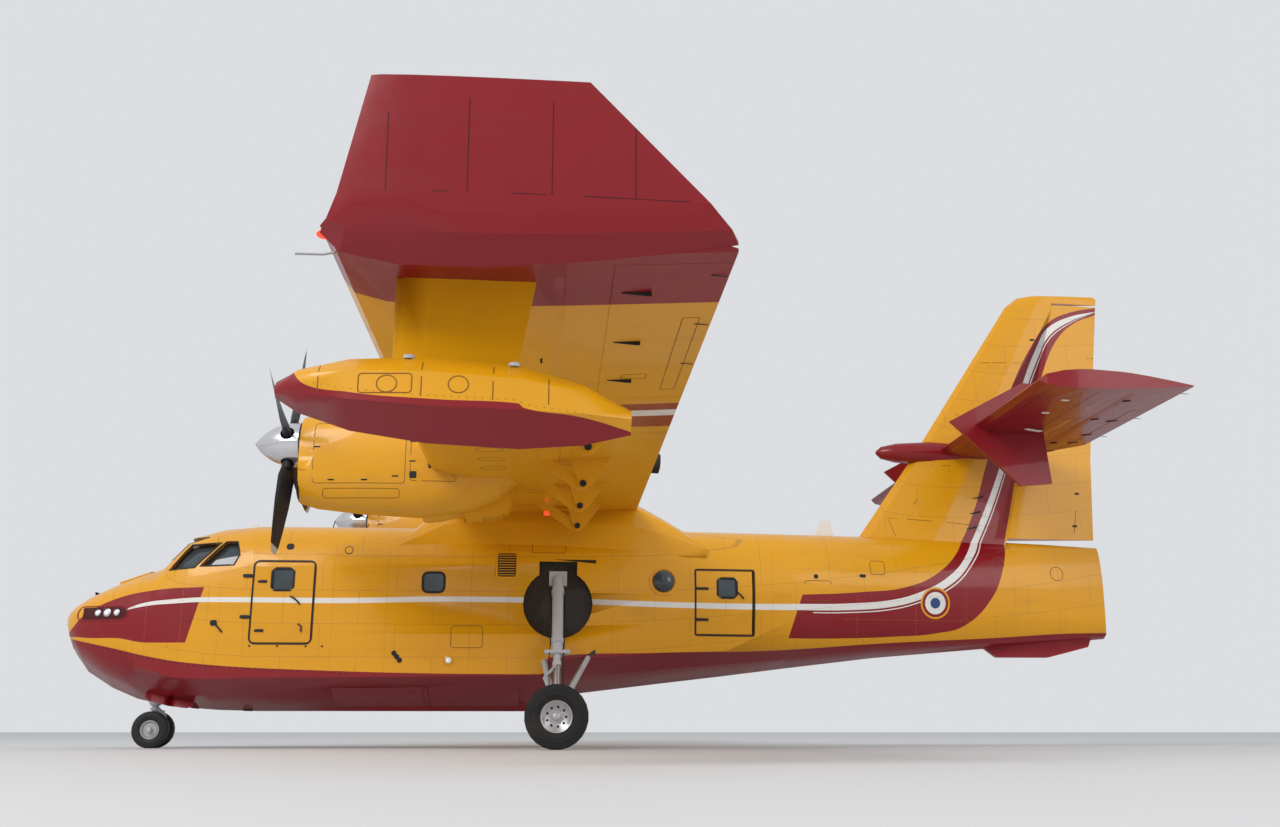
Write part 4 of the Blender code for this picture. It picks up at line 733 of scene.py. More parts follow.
def add_fasteners(name, spots, radius, height, material, body="airframe", sides=8):
    """Small heads on spots, each given as a place and an upright direction."""
    mesh = bpy.data.meshes.new(name + "_spots")
    mesh.from_pydata([spot for spot, _ in spots], [], [])
    upright = mesh.attributes.new("upright", "FLOAT_VECTOR", "POINT")
    upright.data.foreach_set("vector", [part for _, way in spots for part in way])
    guide = bpy.data.objects.new(name + "_guide", mesh)
    bpy.context.collection.objects.link(guide)
    modifier = guide.modifiers.new("rows", "NODES")
    modifier.node_group = FASTENERS
    values = {"Radius": radius, "Height": height, "Sides": sides, "Finish": material}
    for item in FASTENERS.interface.items_tree:
        if item.in_out == "INPUT" and item.name in values:
            modifier[item.identifier] = values[item.name]
    bpy.context.view_layer.update()
    made = bpy.data.meshes.new_from_object(guide.evaluated_get(bpy.context.evaluated_depsgraph_get()))
    bpy.data.objects.remove(guide)
    made.name = name
    piece = bpy.data.objects.new(name, made)
    bpy.context.collection.objects.link(piece)
    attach(piece, body)
    return piece


# Hull sides: windows, vents, door seals, lamps
def hull_sides():
    for name, side in SIDES:
        bm = bmesh.new()
        side_patch(bm, (3.10, 2.69), (3.48, 3.04), 0.09, side, 0.004)
        finish_piece("cabin_window_" + name, bm, GLASS)
        bm = bmesh.new()
        frames = [((3.10, 2.69), (3.48, 3.04), 0.09)]
        if side < 0:
            side_patch(bm, (-2.10, 2.69), (-1.76, 3.00), 0.09, side, 0.004)
            side_patch(bm, (5.75, 2.72), (6.11, 3.08), 0.09, side, 0.004)
            finish_piece("rear_windows_starboard", bm, GLASS)
            bm = bmesh.new()
            frames += [((-2.10, 2.69), (-1.76, 3.00), 0.09), ((5.75, 2.72), (6.11, 3.08), 0.09)]
        for low, high, corner in frames:
            spots = [on_side(x, z, side) for x, z in dense(rounded_frame(low, high, corner), 0.2)]
            add_strip(bm, spots, 0.045, 0.012, closed=True)
        finish_piece("window_seals_" + name, bm, BLACK)
        bm = bmesh.new()
        # The black plate under the louvres is painted shade in the vent's openings.
        side_patch(bm, (1.84, 2.98), (2.16, 3.40), 0.03, side, 0.003)
        finish_piece("cooling_vent_" + name, bm, BLACK)
        bm = bmesh.new()
        for i in range(9):
            z = 3.01 + i * 0.045
            add_strip(bm, [on_side(x, z, side) for x, _ in line((1.85, 0), (2.15, 0), 2)], 0.016, 0.014)
        spots = [on_side(x, z, side) for x, z in dense(rounded_frame((1.82, 2.96), (2.18, 3.42), 0.03))]
        add_strip(bm, spots, 0.035, 0.012, closed=True)
        finish_piece("vent_louvres_" + name, bm, SKIN)


def door_seals():
    """Black seals of the two port doors."""
    bm = bmesh.new()
    for low, high, corner in (((5.375, 1.775), (6.445, 3.225), 0.10), ((-2.49, 1.975), (-1.405, 3.145), 0.03)):
        spots = [on_side(x, z, 1) for x, z in dense(rounded_frame(low, high, corner), 0.1)]
        add_strip(bm, spots, 0.034, 0.010, closed=True)
    finish_piece("door_seals", bm, BLACK)


def door_fittings(name, hinge_x, way, heights, handle, pane, body):
    """Hinge arms, a handle and a window seal on one door."""
    bm = bmesh.new()
    for z in heights:
        spots = [on_side(x, z, 1) for x, _ in line((hinge_x, 0), (hinge_x - way * 0.22, 0), 3)]
        add_strip(bm, spots, 0.05, 0.022)
    finish_piece(name + "_hinge_arms", bm, BLACK, body)
    bm = bmesh.new()
    x, z = handle
    spots = [on_side(x + dx, z + dz, 1) for dx, dz in ((0.10, 0.05), (0.04, 0.02), (-0.02, -0.03), (-0.07, -0.09))]
    add_strip(bm, spots, 0.030, 0.030)
    low, high = pane
    spots = [on_side(px, pz, 1) for px, pz in dense(rounded_frame(low, high, 0.06), 0.2)]
    add_strip(bm, spots, 0.04, 0.012, closed=True)
    finish_piece(name + "_handle_and_seal", bm, BLACK, body)


def bubble_rims():
    for name, side in SIDES:
        bm = bmesh.new()
        spots = [on_side(-0.82 + 0.235 * math.cos(a), 2.92 + 0.235 * math.sin(a), side)
                 for a in (math.tau * i / 24 for i in range(24))]
        add_strip(bm, spots, 0.05, 0.014, closed=True)
        finish_piece("bubble_window_rim_" + name, bm, SKIN)


def side_lamps():
    for name, side in SIDES:
        bm = bmesh.new()
        spot, normal = on_side(2.98, 1.50, side)
        add_turned(bm, [(0.085, -0.02), (0.085, 0.02), (0.060, 0.028), (0.060, -0.02)], spot, normal, 20)
        finish_piece("side_lamp_rim_" + name, bm, SKIN)
        bm = bmesh.new()
        add_ball(bm, spot, 0.058, (1, 1, 1), 14)
        finish_piece("side_lamp_" + name, bm, LAMP)


hull_sides()
door_seals()
door_fittings("front_door", 6.43, 1, (2.00, 2.86), (5.68, 2.55), ((5.745, 2.705), (6.125, 3.095)), "front_door")
door_fittings("rear_door", -1.42, 1, (2.25, 2.80), (-2.22, 2.72), ((-2.165, 2.64), (-1.81, 2.995)), "rear_door")
bubble_rims()
side_lamps()


# Wing: flap pivots, landing lights, tip lights, aileron fittings, access panels
BRACKET_Y = (1.66, 3.72, 5.62, 8.10)
FLAP_PIVOT = (0.74, 3.86)


def wing_under(side):
    return lambda x, y: under(x, side * y, WING_TREE)


def flap_pivots():
    for name, side in SIDES:
        bm = bmesh.new()
        for y in BRACKET_Y:
            x, z = FLAP_PIVOT
            add_rod(bm, (x + 0.02, side * y - 0.085, z - 0.02), (x + 0.02, side * y + 0.085, z - 0.02),
                    0.050, segments=14)
        finish_piece("flap_pivots_" + name, bm, BLACK)


def bracket_windows():
    """Raised rims on the flap tracks, one on each face."""
    outline = ((1.00, 4.00), (1.12, 4.15), (0.90, 4.13), (0.80, 3.99), (0.88, 3.93))
    for name, side in SIDES:
        bm = bmesh.new()
        for y in BRACKET_Y:
            for face, way in ((side * y - 0.0605, -1), (side * y, 1)):
                spots = [(Vector((x, face, z)), Vector((0, way, 0))) for x, z in outline]
                add_strip(bm, spots, 0.018, 0.006, closed=True)
        finish_piece("flap_track_rims_" + name, bm, SKIN)


def landing_lights():
    for name, side in SIDES:
        def front(y, z):
            return touch(WING_TREE, (6.0, side * y, z), (-1, 0, 0))
        bm = bmesh.new()
        add_patch(bm, front, (9.30, 4.27), (9.62, 4.47), 0.05, 0.004)
        finish_piece("landing_light_" + name, bm, GLASS)
        bm = bmesh.new()
        outline_strip(bm, front, (9.28, 4.25), (9.64, 4.49), 0.06, 0.03, 0.007, 0.06)
        finish_piece("landing_light_rim_" + name, bm, BLACK)


def tip_lights():
    for (name, side), lamp in zip(SIDES, (RED_LAMP, GREEN_LAMP)):
        bm = bmesh.new()
        spot, normal = touch(WING_TREE, (6.0, side * 13.86, 4.37), (-1, 0, 0))
        add_ball(bm, spot, 0.05, (1.6, 1.2, 0.8), 14)
        finish_piece("tip_light_" + name, bm, lamp)
    bm = bmesh.new()
    spot, _ = touch(WING_TREE, (6.0, 13.55, 4.33), (-1, 0, 0))
    add_tube(bm, [spot, spot + Vector((0.10, 0, -0.02)), spot + Vector((0.34, 0, -0.02))], 0.012)
    finish_piece("airspeed_probe", bm, STEEL)


def aileron_fittings():
    """Small dark horns at the aileron's hinges and the outlines of tab and panels."""
    for name, side in SIDES:
        bm = bmesh.new()
        for y in (9.98, 11.45, 12.98):
            spot, _ = under(0.42, side * y, WING_TREE)
            add_prism(bm, [spot + Vector((0.20, 0.010, 0.02)), spot + Vector((0.18, 0.010, -0.014)),
                           spot + Vector((-0.04, 0.010, -0.034)), spot + Vector((-0.10, 0.010, -0.034)),
                           spot + Vector((-0.10, 0.010, 0.03))], (0, -0.020, 0))
        finish_piece("aileron_horns_" + name, bm, BLACK, "aileron_" + name)
        bm = bmesh.new()
        outline_strip(bm, wing_under(side), (-0.22, 9.5), (-0.05, 12.2), 0.02, 0.010, 0.002, 0.5)
        outline_strip(bm, wing_under(side), (0.16, 10.02), (0.44, 10.20), 0.02, 0.010, 0.002, 0.3)
        finish_piece("aileron_seams_" + name, bm, SEAM, "aileron_" + name)


def wing_panels():
    """Oval fuel-bay covers, access panels and drains under the wing."""
    for name, side in SIDES:
        bm = bmesh.new()
        find = wing_under(side)
        for y in (2.2, 4.95, 5.6, 6.25, 6.9, 9.9, 10.6):
            outline_strip(bm, find, (1.92, y), (2.30, y + 0.26), 0.12, 0.010, 0.002, 0.1)
        for x, y, wide, deep in ((1.55, 1.72, 0.46, 0.20), (1.30, 3.05, 0.30, 0.26), (2.45, 1.86, 0.30, 0.22)):
            outline_strip(bm, find, (x, y), (x + wide, y + deep), 0.02, 0.010, 0.002, 0.1)
        finish_piece("wing_panel_seams_" + name, bm, SEAM)
        spots = []
        for y in (2.33, 5.08, 5.73, 6.38, 7.03, 10.03, 10.73):
            for i in range(14):
                angle = math.tau * i / 14
                spots.append(find(2.11 + 0.165 * math.cos(angle), y + 0.105 * math.sin(angle)))
        add_fasteners("wing_panel_screws_" + name, spots, 0.007, 0.005, STEEL, sides=6)
        bm = bmesh.new()
        for x, y in ((2.55, 2.6), (2.55, 7.3), (1.35, 10.9)):
            spot, normal = find(x, y)
            add_rod(bm, spot - normal * 0.01, spot + normal * 0.05, 0.014, 0.010, 8)
        finish_piece("fuel_drains_" + name, bm, BLACK)


def trailing_wicks():
    """Thin static wicks behind the ailerons."""
    for name, side in SIDES:
        bm = bmesh.new()
        for y in (10.6, 12.0, 13.4):
            spot, _ = touch(WING_TREE, (-4.0, side * y, 4.263), (1, 0, 0))
            add_tube(bm, [spot, spot + Vector((-0.15, 0, -0.01))], 0.005, 5)
        finish_piece("static_wicks_" + name, bm, BLACK, "aileron_" + name)


flap_pivots()
bracket_windows()
landing_lights()
tip_lights()
aileron_fittings()
wing_panels()
trailing_wicks()


# Nacelles: cowl seams, latches, intake lip, air scoops and exhaust pipes
ENGINE_Y = 3.85
THRUST_Z = 4.755
OUTBOARD, INBOARD = 1, -1


def on_cowl(side, face):
    """Finds the nacelle's skin from its outboard or inboard face."""
    return lambda x, z: touch(NACELLE_TREE, (x, side * (ENGINE_Y + face * 2.0), z), (0, -side * face, 0))


def cowl_seams():
    for name, side in SIDES:
        bm = bmesh.new()
        latches = bmesh.new()
        for face in (OUTBOARD, INBOARD):
            skin = on_cowl(side, face)
            for low, high in (((3.52, 4.06), (4.96, 5.02)), ((2.72, 4.10), (3.44, 4.98)),
                              ((3.60, 3.84), (4.80, 3.98))):
                outline_strip(bm, skin, low, high, 0.05, 0.012, 0.002, 0.16)
            for x, z in ((3.62, 4.84), (3.36, 4.72), (3.36, 4.40), (4.10, 4.10), (4.62, 4.10),
                         (3.62, 4.16), (4.86, 4.62)):
                add_patch(latches, skin, (x, z), (x + 0.10, z + 0.022), 0.004, 0.004, 0.01, 2)
            add_patch(latches, skin, (3.34, 4.14), (3.45, 4.25), 0.01, 0.004, 0.01, 3)
            add_patch(latches, skin, (3.02, 4.30), (3.16, 4.38), 0.01, 0.004, 0.01, 3)
        finish_piece("cowl_seams_" + name, bm, SEAM)
        finish_piece("cowl_latches_" + name, latches, BLACK)
        spots = []
        for face in (OUTBOARD, INBOARD):
            for i in range(26):
                for z in (4.03, 5.05):
                    spots.append(on_cowl(side, face)(2.70 + 0.088 * i, z))
            for i in range(12):
                for x in (2.69, 3.48, 4.99):
                    spots.append(on_cowl(side, face)(x, 4.10 + 0.077 * i))
        add_fasteners("cowl_screws_" + name, spots, 0.008, 0.004, STEEL, sides=6)


def intake_fittings():
    """The spinner's dark back plate and the chin intake's lip."""
    for name, side in SIDES:
        bm = bmesh.new()
        add_turned(bm, ((0.30, 0.0), (0.372, 0.004), (0.372, 0.036), (0.30, 0.040)),
                   (5.197, side * ENGINE_Y, THRUST_Z), (1, 0, 0), 40)
        finish_piece("spinner_ring_" + name, bm, BLACK)
        bm = bmesh.new()
        lip = [Vector((5.205, side * ENGINE_Y + 0.36 * math.cos(a) * (1.0 if math.sin(a) > 0 else 0.92),
                       4.06 + (0.17 if math.sin(a) > 0 else 0.22) * math.sin(a)))
               for a in (math.tau * k / 32 for k in range(33))]
        add_tube(bm, lip, 0.022, 8)
        finish_piece("chin_intake_lip_" + name, bm, BLACK)


def stub_fairings():
    """Pale cone-shaped fairings ahead of the wing, inboard of each engine."""
    for name, side in SIDES:
        bm = bmesh.new()
        profile = ((0.0, 0.0), (0.05, 0.02), (0.11, 0.13), (0.19, 0.36), (0.24, 0.62), (0.24, 0.86), (0.16, 1.25),
                   (0.0, 1.62))
        add_turned(bm, profile, (3.86, side * 3.20, 4.235), (-1, 0, 0), 28)
        finish_piece("stub_fairing_" + name, bm, SKIN, smooth=60)


def cooling_scoops():
    for name, side in SIDES:
        y = side * 3.62
        bm = bmesh.new()
        profile = ((0.150, 0.0), (0.185, 0.03), (0.195, 0.10), (0.19, 0.30), (0.15, 0.60), (0.05, 0.95),
                   (0.0, 1.0), (0.0, 0.12), (0.140, 0.10))
        add_turned(bm, profile, (3.30, y, 3.74), (-1, 0, 0.10), 28)
        finish_piece("ram_scoop_" + name, bm, SKIN, smooth=50)
        bm = bmesh.new()
        # The black disc across the scoop's mouth is painted shade inside the scoop.
        add_turned(bm, ((0.0, 0.0), (0.152, 0.0), (0.152, 0.02), (0.0, 0.02)), (3.285, y, 3.74), (-1, 0, 0.10), 28)
        finish_piece("ram_scoop_mouth_" + name, bm, BLACK)
        bm = bmesh.new()
        add_prism(bm, [(2.72, y - 0.20, 3.80), (2.62, y - 0.20, 3.59), (2.05, y - 0.20, 3.64),
                       (1.86, y - 0.20, 3.78), (1.86, y - 0.20, 4.10), (2.72, y - 0.20, 4.00)], (0, 0.40, 0))
        bmesh.ops.bevel(bm, geom=bm.edges, offset=0.03, segments=2, affect="EDGES")
        finish_piece("outlet_box_" + name, bm, SKIN)
        bm = bmesh.new()
        for x in (1.99, 2.30, 2.61):
            spots = [touch_box((x, y + 0.20 * t), side) for t in (-0.86, -0.43, 0.0, 0.43, 0.86)]
            add_strip(bm, spots, 0.012, 0.003)
        finish_piece("outlet_seams_" + name, bm, SEAM)


def touch_box(spot, side):
    """A place on the outlet box's sloping floor."""
    x, y = spot
    z = 3.59 + (2.62 - x) / 0.57 * 0.05 if x > 2.05 else 3.64 + (2.05 - x) / 0.19 * 0.14
    return Vector((x, y, z)), Vector((0, 0, -1))


def exhaust_pipes():
    """Pipes that run back over the wing to a black open end behind it."""
    for name, side in SIDES:
        start = Vector((2.25, side * 3.46, 4.86))
        end = Vector((-0.58, side * 3.08, 4.70))
        way = end - start
        bm = bmesh.new()
        reach = way.length
        add_turned(bm, ((0.0, 0.0), (0.17, 0.0), (0.175, 0.5), (0.172, reach - 0.32)), start, way, 28)
        finish_piece("exhaust_pipe_" + name, bm, HEATED, smooth=50)
        bm = bmesh.new()
        add_turned(bm, ((0.174, reach - 0.32), (0.180, reach - 0.30), (0.168, reach), (0.150, reach),
                        (0.145, reach - 0.30), (0.0, reach - 0.36)), start, way, 28)
        finish_piece("exhaust_outlet_" + name, bm, SOOT, smooth=50)
        bm = bmesh.new()
        add_turned(bm, ((0.172, 0.9), (0.186, 0.9), (0.186, 0.96), (0.172, 0.96)), start, way, 28)
        add_turned(bm, ((0.172, 1.9), (0.186, 1.9), (0.186, 1.96), (0.172, 1.96)), start, way, 28)
        finish_piece("exhaust_clamps_" + name, bm, GEAR)


def blade_cuffs():
    """Dark boots at each blade's root."""
    for name, side in SIDES:
        bm = bmesh.new()
        for k in range(4):
            angle = math.radians(22 + 90 * k)
            way = Vector((0, math.cos(angle), math.sin(angle)))
            hub = Vector((5.42, side * ENGINE_Y, THRUST_Z))
            add_rod(bm, hub + way * 0.20, hub + way * 0.46, 0.085, 0.062, 20)
        finish_piece("blade_cuffs_" + name, bm, BLACK, "propeller_" + name)


cowl_seams()
intake_fittings()
stub_fairings()
cooling_scoops()
exhaust_pipes()
blade_cuffs()


# Landing gear: rims, bolts, brakes, links, hoses and doors
MAIN_WHEEL = (1.08, 2.655, 0.525)
NOSE_AXLE = (8.31, 0.0, 0.32)


def around(centre, axis, radius, reach, count, first=0.0):
    """Places in a ring about an axis, each with the axis as its upright direction."""
    centre, axis = Vector(centre), Vector(axis)
    turn = axis.to_track_quat("Z", "Y").to_matrix()
    spots = []
    for i in range(count):
        angle = first + math.tau * i / count
        way = turn @ Vector((math.cos(angle), math.sin(angle), 0.0))
        spots.append((centre + way * radius + axis * reach, axis))
    return spots


def main_wheel_fittings():
    for name, side in SIDES:
        centre = (MAIN_WHEEL[0], side * MAIN_WHEEL[1], MAIN_WHEEL[2])
        axis = (0, side, 0)
        body = "main_wheel_" + name
        bm = bmesh.new()
        add_turned(bm, ((0.236, 0.086), (0.262, 0.086), (0.266, 0.098), (0.258, 0.108), (0.240, 0.100)),
                   centre, axis, 48)
        add_turned(bm, ((0.0, 0.02), (0.062, 0.02), (0.058, 0.062), (0.034, 0.072), (0.0, 0.072)),
                   centre, axis, 28)
        add_turned(bm, ((0.086, -0.01), (0.098, -0.01), (0.098, 0.012), (0.086, 0.012)), centre, axis, 32)
        finish_piece("main_rim_" + name, bm, HUB, body)
        bm = bmesh.new()
        for spot, way in around(centre, axis, 0.158, 0.0, 9):
            add_turned(bm, ((0.0, -0.004), (0.021, -0.004), (0.021, 0.003), (0.0, 0.003)), spot, way, 16)
        finish_piece("main_rim_holes_" + name, bm, BLACK, body)
        add_fasteners("main_rim_bolts_" + name, around(centre, axis, 0.118, 0.0, 9, 0.35), 0.011, 0.012,
                      STEEL, body, 6)
        bm = bmesh.new()
        for way in (1, -1):
            for radius, reach in ((0.345, 0.1432), (0.42, 0.1512)):
                add_turned(bm, ((radius, way * (reach - 0.006)), (radius + 0.007, way * (reach + 0.0025)),
                                (radius + 0.014, way * (reach - 0.006))), centre, axis, 48)
        finish_piece("main_tyre_beads_" + name, bm, RUBBER, body)


def main_leg_fittings():
    for name, side in SIDES:
        def spot(x, y, z):
            return Vector((x, side * y, z))
        bm = bmesh.new()
        add_turned(bm, ((0.112, -0.165), (0.176, -0.165), (0.176, -0.075), (0.112, -0.075)),
                   spot(*MAIN_WHEEL), (0, side, 0), 32)
        for angle in (0.5, 1.35, 2.6, 3.5, 5.4):
            way = Vector((math.cos(angle), 0, math.sin(angle))) * 0.145
            add_rod(bm, spot(*MAIN_WHEEL) + way + Vector((0, -side * 0.16, 0)),
                    spot(*MAIN_WHEEL) + way + Vector((0, -side * 0.215, 0)), 0.026, segments=12)
        finish_piece("brake_" + name, bm, GEAR)
        bm = bmesh.new()
        foot, elbow, head = spot(1.08, 2.38, 0.525), spot(1.08, 1.75, 1.74), spot(1.08, 1.07, 2.98)
        way = (elbow - foot).normalized()
        add_rod(bm, foot + way * 0.14, foot + way * 0.24, 0.084, segments=24)
        add_rod(bm, foot + way * 0.30, foot + way * 0.34, 0.074, segments=24)
        add_rod(bm, elbow - way * 0.42, elbow - way * 0.34, 0.082, segments=24)
        rise = (head - elbow).normalized()
        add_rod(bm, elbow + rise * 0.02, elbow + rise * 0.12, 0.116, segments=24)
        add_rod(bm, head - rise * 0.36, head - rise * 0.26, 0.114, segments=24)
        add_rod(bm, spot(0.86, 1.84, 1.62), spot(1.30, 1.84, 1.62), 0.045, segments=18)
        finish_piece("leg_collars_" + name, bm, GEAR)
        bm = bmesh.new()
        add_rod(bm, foot + way * 0.34, elbow - way * 0.42, 0.0665, segments=24)
        finish_piece("oleo_" + name, bm, STEEL)
        bm = bmesh.new()
        knee = spot(1.30, 2.20, 1.16)
        for start, end in ((foot + way * 0.20, knee), (elbow - way * 0.38, knee)):
            for offset in (-0.035, 0.035):
                shift = Vector((0, offset, offset * 0.4))
                add_rod(bm, start + shift, end + shift * 0.6, 0.020, 0.014, 10)
        add_rod(bm, knee + Vector((0, -0.05, 0)), knee + Vector((0, 0.05, 0)), 0.020, segments=12)
        finish_piece("torque_links_" + name, bm, GEAR)
        bm = bmesh.new()
        hose = [spot(0.96, 2.47, 0.62), spot(0.92, 2.38, 0.80), spot(0.97, 2.20, 1.02), spot(0.98, 2.02, 1.34),
                spot(0.97, 1.86, 1.62), spot(0.95, 1.62, 2.00), spot(0.95, 1.40, 2.38), spot(0.98, 1.18, 2.74)]
        add_tube(bm, hose, 0.013, 8)
        hose = [point + Vector((0.24, 0, 0.02)) for point in hose[2:]]
        add_tube(bm, hose, 0.009, 8)
        finish_piece("brake_hoses_" + name, bm, BLACK)
        bm = bmesh.new()
        for x in (0.50, 1.34):
            end = spot(x, 1.10, 1.63)
            add_rod(bm, end + Vector((0, side * 0.03, -0.06)), end + Vector((0, side * 0.03, 0.06)), 0.075,
                    segments=18)
        finish_piece("arm_feet_" + name, bm, GEAR)


def nose_gear_fittings():
    bm = bmesh.new()
    for side in (1, -1):
        add_turned(bm, ((0.0, 0.262), (0.045, 0.262), (0.042, 0.285), (0.0, 0.289)), NOSE_AXLE,
                   (0, side, 0), 24)
        add_turned(bm, ((0.118, 0.196), (0.150, 0.220), (0.158, 0.226), (0.150, 0.232), (0.120, 0.206)),
                   NOSE_AXLE, (0, side, 0), 36)
    finish_piece("nose_wheel_caps", bm, HUB, "nose_wheels")
    spots = around(NOSE_AXLE, (0, 1, 0), 0.085, 0.200, 6) + around(NOSE_AXLE, (0, -1, 0), 0.085, 0.200, 6)
    add_fasteners("nose_wheel_bolts", spots, 0.010, 0.010, STEEL, "nose_wheels", 6)
    bm = bmesh.new()
    x = NOSE_AXLE[0]
    for y in (-0.05, 0.05):
        add_rod(bm, (x - 0.05, y, 0.42), (x - 0.20, y * 0.5, 0.56), 0.018, 0.014, 10)
        add_rod(bm, (x - 0.20, y * 0.5, 0.56), (x - 0.05, y, 0.70), 0.014, 0.018, 10)
    add_rod(bm, (x, 0, 0.66), (x, 0, 0.71), 0.085, segments=24)
    finish_piece("nose_fork_links", bm, GEAR, "nose_fork")
    bm = bmesh.new()
    add_rod(bm, (x, 0, 0.76), (x, 0, 0.86), 0.105, segments=24)
    add_rod(bm, (x, 0, 1.05), (x, 0, 1.11), 0.098, segments=24)
    for side in (1, -1):
        add_rod(bm, (x - 0.24, side * 0.15, 0.93), (x + 0.02, side * 0.115, 0.93), 0.034, segments=14)
        add_rod(bm, (x + 0.02, side * 0.115, 0.93), (x + 0.13, side * 0.085, 0.93), 0.016, segments=10)
    add_box(bm, (x - 0.16, -0.19, 0.88), (x - 0.10, 0.19, 0.98))
    finish_piece("steering_jacks", bm, GEAR)
    bm = bmesh.new()
    add_tube(bm, [(x + 0.10, 0.03, 0.80), (x + 0.12, 0.05, 0.95), (x + 0.09, 0.05, 1.12), (x + 0.08, 0.02, 1.36)],
             0.009, 6)
    finish_piece("nose_hose", bm, BLACK)
    for name, side in SIDES:
        bm = bmesh.new()
        rows = []
        for i in range(9):
            px = 7.54 + 0.85 * i / 8
            edge, _ = under(px, side * 0.335)
            drop = 0.13 if 0 < i < 8 else 0.08
            rows.append([edge + Vector((0, 0, 0.02)), edge + Vector((0, side * 0.05, -drop))])
        for i in range(8):
            (a, b), (c, d) = rows[i], rows[i + 1]
            shift = Vector((0, side * 0.014, 0))
            corners = [bm.verts.new(p) for p in (a, b, d, c, a + shift, b + shift, d + shift, c + shift)]
            for k in ((0, 1, 2, 3), (7, 6, 5, 4), (0, 4, 5, 1), (1, 5, 6, 2), (2, 6, 7, 3), (3, 7, 4, 0)):
                bm.faces.new([corners[m] for m in k])
        finish_piece("nose_door_" + name, bm, RED, merge=0.0002)


main_wheel_fittings()
main_leg_fittings()
nose_gear_fittings()


# Tail: rudder and elevator tabs, vortex plates, drains, seams and wicks
def on_fin(side):
    return lambda x, z: touch(FIN_TREE, (x, side * 3.0, z), (0, -side, 0))


def under_tail(side):
    return lambda x, y: touch(TAIL_TREE, (x, side * y, 3.0), (0, 0, 1))


def above_tail(side):
    return lambda x, y: touch(TAIL_TREE, (x, side * y, 7.5), (0, 0, -1))


def rudder_fittings():
    seams, marks = bmesh.new(), bmesh.new()
    for side in (1, -1):
        skin = on_fin(side)
        for path in (((-9.60, 7.66), (-9.42, 6.60)), ((-9.60, 7.66), (-9.74, 7.66)),
                     ((-9.38, 6.50), (-9.18, 5.46)), ((-9.22, 5.38), (-9.02, 4.06)),
                     ((-9.22, 5.38), (-9.36, 5.38)), ((-8.72, 6.56), (-9.50, 6.56)),
                     ((-8.35, 4.90), (-8.62, 4.90)), ((-8.62, 4.90), (-8.58, 4.62)),
                     ((-8.58, 4.62), (-8.31, 4.62)), ((-8.31, 4.62), (-8.35, 4.90))):
            add_strip(seams, [skin(x, z) for x, z in line(*path, 5)], 0.014, 0.003)
        for x, z in ((-9.56, 7.24), (-9.33, 6.02), (-9.14, 4.85), (-9.04, 4.20), (-8.45, 8.00)):
            add_patch(marks, skin, (x - 0.05, z - 0.02), (x + 0.05, z + 0.02), 0.018, 0.008, 0.01, 3)
        add_patch(marks, skin, (-9.42, 6.52), (-9.02, 6.57), 0.02, 0.004, 0.01, 4)
    finish_piece("rudder_seams", seams, SEAM, "rudder")
    finish_piece("rudder_marks", marks, BLACK, "rudder")


def fin_fittings():
    seams = bmesh.new()
    for side in (1, -1):
        skin = on_fin(side)
        for path in (((-4.90, 4.34), (-7.60, 4.12)), ((-6.20, 5.35), (-7.95, 5.35)),
                     ((-6.75, 6.40), (-8.20, 6.40)), ((-7.35, 7.50), (-8.50, 7.50))):
            add_strip(seams, [skin(x, z) for x, z in line(*path, 7)], 0.012, 0.003)
        spots = [(p, w) for p, w in around((-5.42, 0, 4.98), (0, side, 0), 0.055, 0, 12)]
        add_strip(seams, [skin(p.x, p.z) for p, w in spots], 0.010, 0.003, closed=True)
    finish_piece("fin_seams", seams, SEAM)
    for name, side in SIDES:
        bm = bmesh.new()
        for x, z in ((-7.02, 4.12), (-7.10, 4.42), (-7.18, 4.72)):
            base, _ = on_fin(side)(x, z)
            ahead, _ = on_fin(side)(x + 0.24, z - 0.04)
            tip = base + Vector((0.02, side * 0.13, 0.01))
            low = base - Vector((0, side * 0.02, 0))
            add_prism(bm, [ahead - Vector((0, side * 0.02, 0)), tip, low], (0, 0, 0.012))
        finish_piece("vortex_plates_" + name, bm, BLACK)


